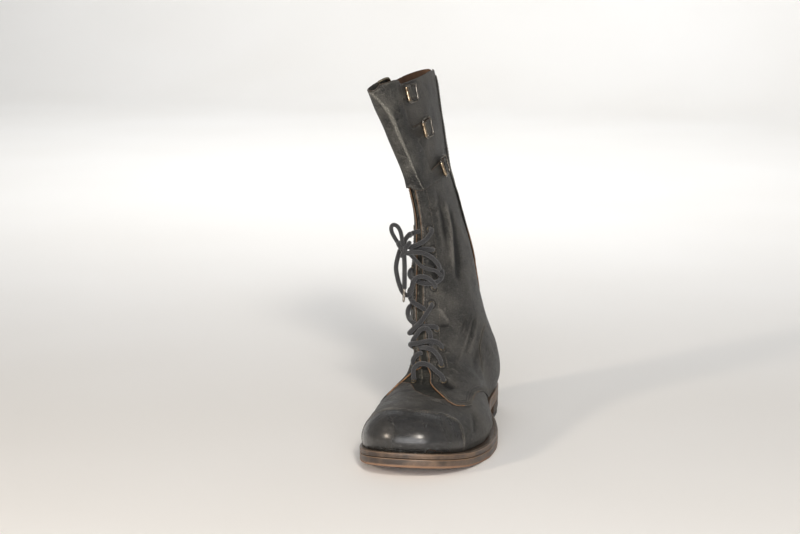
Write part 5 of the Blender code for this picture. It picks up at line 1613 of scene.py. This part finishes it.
# %% Eyelets
def eyelet_tree(mat):
    tree, size = growth_tree("eyelets", {"Middle": 0.0027, "Rim": 0.0007, "Flatness": 0.62, "Tilt": 0.14})
    circle = output(tree, "GeometryNodeCurvePrimitiveCircle", {"Resolution": 28, "Radius": size["Middle"]})
    section = output(tree, "GeometryNodeCurvePrimitiveCircle", {"Resolution": 10, "Radius": size["Rim"]})
    ring = output(tree, "GeometryNodeCurveToMesh", {"Curve": circle, "Profile Curve": section})
    scale = output(tree, "ShaderNodeCombineXYZ", {"X": 1.0, "Y": 1.0, "Z": size["Flatness"]})
    flat = output(tree, "GeometryNodeTransform", {"Geometry": ring, "Scale": scale})
    # Each eyelet was set by hand, so each leans a little its own way
    return lay_out(tree, size["Guide"], flat, None, (size["Tilt"], size["Tilt"], 3.0), 7, mat)


EYELET_BRASS = dull_metal("eyelet_brass", (0.22, 0.17, 0.10), (0.05, 0.04, 0.03), 0.42)
EYELETS = eyelet_tree(EYELET_BRASS)

for side, places in (("outer", OUTER_EYELETS), ("inner", INNER_EYELETS)):
    t, v = lace_place(places)
    guide = guide_mesh(f"eyelets_{side}", np.split(boot.at(t, v, 0 * t + 0.5), len(t)),
                       np.split(boot.normal(t, v), len(t)))
    settle(grow(guide, EYELETS, EYELET_BRASS, Middle=0.0023, Rim=0.00055), "worn_brass",
           *[f"eyelet_{side}_{row}" for row in range(1, 10)])

# %% [markdown]
# ## Stitches
# Waxed thread lies in short even steps, each stitch a little sunk at its ends. The
# seams are lines on the leather, and a second tree cuts each line into equal steps
# and lays one small capsule on each. Two and three rows run side by side, as they
# do on the real seams, by moving the same cut line sideways.

# %% Thread material and stitch tree
def waxed_thread(name, colour, dusty):
    mat, shader, place = new_material(name, 0.6)
    worn = noise(place, 150.0, 4.0)
    twist = noise(place, 4200.0, 2.0)
    paint(shader, mix(spread(worn, 0.4, 0.65), colour, dusty))
    bump(shader, (twist, 0.0001, 0.6))
    return mat


DARK_THREAD = waxed_thread("dark_thread", (0.05, 0.046, 0.04), (0.20, 0.175, 0.135))
WELT_THREAD = waxed_thread("welt_thread", (0.10, 0.075, 0.05), (0.22, 0.17, 0.12))


def stitch_tree(mat):
    sizes = {"Pitch": 0.0026, "Length": 0.0019, "Width": 0.0006, "Height": 0.0005, "Wander": 0.09}
    tree, size = growth_tree("stitches", sizes)
    line = output(tree, "GeometryNodeMeshToCurve", {"Mesh": size["Guide"]})
    marks = output(tree, "GeometryNodeResampleCurve", {"Curve": line, "Length": size["Pitch"]}, mode="LENGTH")
    bead = output(tree, "GeometryNodeMeshUVSphere", {"Segments": 8, "Rings": 5, "Radius": 0.5})
    across = output(tree, "GeometryNodeTransform", {"Geometry": bead, "Rotation": (0.0, math.pi / 2, 0.0)})
    scale = output(tree, "ShaderNodeCombineXYZ",
                   {"X": size["Length"], "Y": size["Width"], "Z": size["Height"]})
    stitch = output(tree, "GeometryNodeTransform", {"Geometry": across, "Scale": scale})
    along = tree.nodes.new("GeometryNodeInputTangent").outputs[0]
    return lay_out(tree, marks, stitch, along, (0.0, 0.0, size["Wander"]), 11, mat)


ON_QUARTER, ON_CAP, ON_STRIP, ON_HOLDER = 0.42, 0.95, 1.55, 1.75     # lifts of the thread


def row_at(t, v, lift=ON_QUARTER):
    """A stitch line on the leather: its points and the way they face."""
    return boot.at(t, v, lift + 0 * t), boot.normal(t, v)


def offset_seam(cut, aside, lift=ON_QUARTER, keep=lambda p: p[:, 2] > -1):
    """A row beside a cut line, where keep says so."""
    places = cut.beside(aside)[::2]
    return row_at(*boot.find(ease(places[keep(places)], 6)), lift)


def stitch(name, rows, mat, slot, **sizes):
    lines, normals = zip(*rows)
    return settle(grow(guide_mesh(name, lines, normals), stitch_tree(mat), mat, **sizes), slot)


# %% Seams of the upper
def below(height, front=-300):
    """True for the points under a height and behind a front limit."""
    return lambda p: (p[:, 2] < height) & (p[:, 1] > front)


cap_rows = [offset_seam(CAP_CUT, aside, ON_CAP) for aside in (1.9, 4.1)]
# Three rows run along each quarter's arch, and the first one goes on up to the throat
quarter_rows = []
for cut, first, others in ((OUTER_CUT, below(60), below(52, -172)), (INNER_CUT, below(66), below(52))):
    quarter_rows += [offset_seam(cut, aside, keep=keep)
                     for aside, keep in ((2.2, first), (4.6, others), (7.0, others))]


def facing_rows(side):
    """Two rows down each facing: beside its cut edge, and outside the eyelets."""
    t = np.linspace(0.34, 0.985, 160)
    return [row_at(t, side * (table(THROAT, t) + inset) / boot.girth(t)) for inset in (2.0, 17.5)]


inner_heel_seam = CutLine(((-26, -16, 98), (-29, -36, 88), (-32, -52, 76), (-37, -66, 64), (-40, -78, 54)))
heel_rows = [offset_seam(line, aside) for line in (CutLine(HEEL_SEAM), inner_heel_seam)
             for aside in (-1.2, 1.2)]
heel_corner = smooth_line(((33.2, -82.5, 57.6), (34.4, -80.4, 56.0), (34.6, -78.6, 54.6)), 1.5)
heel_rows.append(row_at(*boot.find(heel_corner), 0.5))
back_rows = []
for side in (-1, 1):
    low, high = np.linspace(0.02, 0.44, 60), np.linspace(0.47, 0.98, 150)
    back_rows.append(row_at(low, 1 + side * 2.4 / boot.girth(low)))
    back_rows.append(row_at(high, 1 + side * (table(BACK_STRIP, high) - 5.5) / boot.girth(high), ON_STRIP))

stitch("cap_stitches", cap_rows, DARK_THREAD, "toe_cap_leather", Pitch=0.0023, Length=0.0017, Width=0.00055)
stitch("quarter_stitches", quarter_rows + heel_rows, DARK_THREAD, "black_leather", Pitch=0.0025,
       Length=0.0018)
stitch("facing_stitches", facing_rows(1) + facing_rows(-1), DARK_THREAD, "black_leather", Pitch=0.0027)
stitch("back_stitches", back_rows, DARK_THREAD, "black_leather", Pitch=0.0031)


# %% Seams of the flap
def flap_row(*places):
    """A row on the flap: its places are t, v."""
    t, v = smooth_line([(a, b, 0) for a, b in places], 0.004)[:, :2].T
    _, lift, thick = flap_shape(t, v)
    lift = lift + thick + flap_wave(t, v) / 2 + 0.12
    return stretched(t, v, FLAP_RISE) + boot.normal(t, v) * lift[:, None], boot.normal(t, v)


flap_rows = [flap_row((0.84, -0.478), (0.90, -0.49), (0.985, -0.50)),
             flap_row((0.84, -0.448), (0.90, -0.46), (0.985, -0.47))]
stitch("flap_stitches", flap_rows, DARK_THREAD, "black_leather", Pitch=0.0031, Length=0.0023, Width=0.0007)
holder_rows = []
for level, way, _ in BUCKLES:
    facing = np.repeat(boot.normal(level, way)[None], 5, 0)
    along, across = np.linspace(9.5, 15.2, 5), np.linspace(-4.6, 4.6, 5)
    for aside, up in ((along, np.full(5, -4.6)), (along, np.full(5, 4.6)), (np.full(5, 15.0), across)):
        holder_rows.append((boot.patch(level, way, aside, up, np.full(5, ON_HOLDER)), facing))
stitch("holder_stitches", holder_rows, DARK_THREAD, "black_leather", Pitch=0.0022, Length=0.0016,
       Width=0.0005)

# %% [markdown]
# ## Welt, sole and heel
# The sole is built of flat leather plates stacked and trimmed together. Its edge is
# inked dark, ironed smooth, and rubbed through to brown along the corners. A thin
# groove parts welt and sole. The heel is a stack of leather lifts on a rubber lift.
# Every plate is the same outline at several depths, pulled in a little to round its
# corners, so one helper makes them all.

# %% Sole leather
def edge_dressing(name, ink, rubbed, rim, roughness=0.42):
    """Inked leather edges. The attribute down is millimetres under the welt's top face."""
    mat, shader, place = new_material(name, roughness)
    down = add(mat.node_tree, "ShaderNodeAttribute", attribute_name="down").outputs["Fac"]
    streaks = output(mat.node_tree, "ShaderNodeMapping", {"Vector": place, "Scale": (1.0, 1.0, 7.0)})
    fibre = noise(streaks, 260.0, 4.0, 0.6)
    patches = noise(place, 45.0, 4.0, 0.65)
    colour = mix(spread(patches, 0.4, 0.7, 0.0, 0.75), ink, rubbed)
    wobble = times(fibre, 1.6)
    # Brown shows along the welt's upper corner and where the sole meets the welt
    welt_corner = spread(combine("SUBTRACT", down, wobble), -0.6, 0.9, 0.9, 0.0)
    sole_corner = spread(combine("ABSOLUTE", plus(down, -6.1)), 0.2, 0.8, 0.7, 0.0)
    at_corner = larger(welt_corner, sole_corner)
    colour = mix(at_corner, colour, rubbed)
    colour = mix(spread(down, 0.52, 0.66, 0.85, 0.0), colour, tuple(c * 0.5 for c in ink))
    low = spread(plus(down, wobble), 11.9, 12.9)
    rough = spread(patches, 0.3, 0.7, roughness, roughness + 0.2)
    paint(shader, mix(low, colour, rim), plus(times(low, 0.3), rough))
    bump(shader, (fibre, 0.0002, 0.5), (patches, 0.0005, 0.3))
    return mat


SOLE_LEATHER = edge_dressing("sole_leather", (0.050, 0.036, 0.028), (0.23, 0.145, 0.09), (0.24, 0.14, 0.085),
                             0.34)
HEEL_LEATHER = edge_dressing("heel_leather", (0.026, 0.019, 0.015), (0.10, 0.06, 0.036), (0.09, 0.052, 0.03))


def moulded_rubber():
    mat, shader, place = new_material("heel_rubber", 0.7)
    dusty = noise(place, 80.0, 4.0)
    fine = noise(place, 1200.0, 3.0)
    paint(shader, mix(spread(dusty, 0.4, 0.75), (0.016, 0.0155, 0.015), (0.075, 0.068, 0.06)))
    bump(shader, (fine, 0.00015, 0.5))
    return mat


HEEL_RUBBER = moulded_rubber()
INSOLE_LEATHER = flesh_side("insole_leather", (0.20, 0.11, 0.06), (0.075, 0.04, 0.022))

# %% Plates
TOP_PIECE, HEEL_BREAST_Y = 6.0, -41.0           # the rubber lift's thickness, and where the heel begins
FLAT = 13.8                                     # welt and sole together
WELT_WIDTH = ((-260, 7.5), (-180, 7), (-130, 6.5), (-85, 4.4), (-40, 2.4), (40, 2.4))


def sole_outline(count):
    """Plan of welt and sole outside the feather edge, from v = -1 to v = 1."""
    share = np.linspace(0, 1, count)
    v = np.concatenate([-share[:0:-1], share])
    edge = boot.place(0 * v, v)
    along = boot.place(0 * v, v + 0.01) - boot.place(0 * v, v - 0.01)
    outward = unit(np.stack([along[:, 1], -along[:, 0]], 1))
    inner_forefoot = smooth((-v - 0.06) / 0.1) * smooth((-60 - edge[:, 1]) / 60)
    width = table(WELT_WIDTH, edge[:, 1]) - 2.6 * inner_forefoot
    return edge[:, :2] + outward * width[:, None]


def pulled_in(outline, pull):
    along = np.roll(outline, -1, axis=0) - np.roll(outline, 1, axis=0)
    return outline + unit(np.stack([-along[:, 1], along[:, 0]], 1)) * pull


def plate(name, outline, front, levels, height, mat, slot, *nodes, down=None):
    """A plate from rings of its outline at (depth, pull), depth being measured down from height(y).

    Its end faces are strips across, from point front. down is its attribute for
    the edge's dressing, and comes from the feather edge if not given.
    """
    count = len(outline)
    rings = []
    for depth, pull in levels:
        ring = pulled_in(outline, pull)
        rings.append(np.column_stack([ring, height(ring[:, 1], depth)]))
    faces = ring_faces(len(rings), count)
    top = (len(levels) - 1) * count
    for i in range((count + 1) // 2):
        corners = ((front - i) % count, (front - i - 1) % count, (front + i + 1) % count, (front + i) % count)
        strip = list(dict.fromkeys(corners))
        if len(strip) > 2:
            faces += [strip, [top + p for p in reversed(strip)]]
    piece = new_piece(name, np.concatenate(rings), faces, mat, merge=0.001, sharp=35)
    place = np.array([p.co[:] for p in piece.data.vertices]) / MM
    if down is None:
        down = table(FEATHER, place[:, 1]) - place[:, 2]
    values = np.broadcast_to(down, len(place)).astype(np.float32)
    piece.data.attributes.new("down", "FLOAT", "POINT").data.foreach_set("value", values)
    return settle(piece, slot, *nodes)


def feather(y, depth):
    return table(FEATHER, y) - depth


welt_plan = sole_outline(150)[1:]
toe = len(welt_plan) // 2 - 1
welt_levels = ((5.25, 0.9), (5.15, 0.35), (4.9, 0.1), (4.3, 0), (3.9, 0.05), (3.7, 0.22), (3.5, 0.05),
    (3, 0), (1.3, 0), (0.85, 0.15), (0.6, 0.5), (0.5, 1))
plate("welt_plate", welt_plan, toe, welt_levels, feather, SOLE_LEATHER, "sole_leather", "welt")
sole_levels = ((13.8, 2), (13.75, 1.3), (13.4, 0.6), (12.8, 0.25), (12.1, 0.05), (10, 0), (7.2, 0),
    (6.3, 0.1), (5.9, 0.4), (5.78, 0.9))
plate("sole_plate", welt_plan, toe, sole_levels, feather, SOLE_LEATHER, "sole_leather", "outsole")


# %% Heel and insole
def heel_plan():
    outline = sole_outline(120)[1:]
    half = len(outline) // 2
    inner = outline[:half][outline[:half, 1] > HEEL_BREAST_Y]
    outer = outline[half:][outline[half:, 1] > HEEL_BREAST_Y]
    across = np.linspace(-1, 1, 25)[1:-1, None]
    a, b = inner[-1], outer[0]
    breast = (a + b) / 2 + (b - a) / 2 * across + np.array([0, 3.0]) * (1 - across**2)
    return np.concatenate([inner, breast, outer]), len(inner) + len(breast) // 2


heel_outline, heel_front = heel_plan()
GAP = 0.45                                      # between stacked plates, so that each keeps its own edge
STACK = FEATHER[-1][1] - FLAT - GAP - TOP_PIECE - GAP       # its height behind, where the seat is level
lifts = [STACK * k / 3 for k in range(4)]
stack = []
for low, high in zip(lifts[:-1], lifts[1:]):
    stack += [(-low, 0.75), (-low - 0.25, 0.4), (-low - 0.6, 0.32), (-high + 0.6, 0.26),
              (-high + 0.25, 0.34), (-high, 0.75)]


def stack_height(y, depth):
    """Lifts of equal height behind. The top one is shaved to the sole's rising line in front."""
    share = (table(FEATHER, y) - FLAT - GAP - TOP_PIECE - GAP) / STACK
    return TOP_PIECE + GAP - depth * np.clip(share, 0.2, 1)


plate("heel_lifts", heel_outline, heel_front, stack, stack_height, HEEL_LEATHER, "sole_leather",
      "heel_stack", down=3.0)
plate("heel_rubber_lift", heel_outline, heel_front,
      ((6.0, 2.2), (5.9, 1.6), (5.5, 1.25), (4.6, 1.05), (0.8, 0.8), (0.3, 0.9), (0.0, 1.3)), lambda y,
      depth: TOP_PIECE - depth + 0 * y, HEEL_RUBBER, "heel_rubber", "heel_top_piece")
insole_v = np.linspace(-1, 1, 161)[1:]
insole_plan = (boot.place(0 * insole_v, insole_v) - boot.normal(0 * insole_v, insole_v) * 3.7)[:, :2]
plate("insole_plate", insole_plan, len(insole_plan) // 2 - 1,
      ((0.0, 0.2), (-0.4, 0.0), (-2.2, 0.0), (-2.6, 0.3)), feather, INSOLE_LEATHER, "insole_leather",
      "insole")

# %% Stitches round the welt
welt_row = pulled_in(welt_plan, 2.6)
welt_row = welt_row[welt_row[:, 1] < -30]       # it ends where the heel begins
welt_line = np.column_stack([welt_row, feather(welt_row[:, 1], 0.36)])
stitch("welt_stitches", [(welt_line, np.tile((0.0, 0.0, 1.0), (len(welt_line), 1)))], WELT_THREAD,
       "sole_leather", Pitch=0.0034, Length=0.0027, Width=0.0009, Height=0.0007)
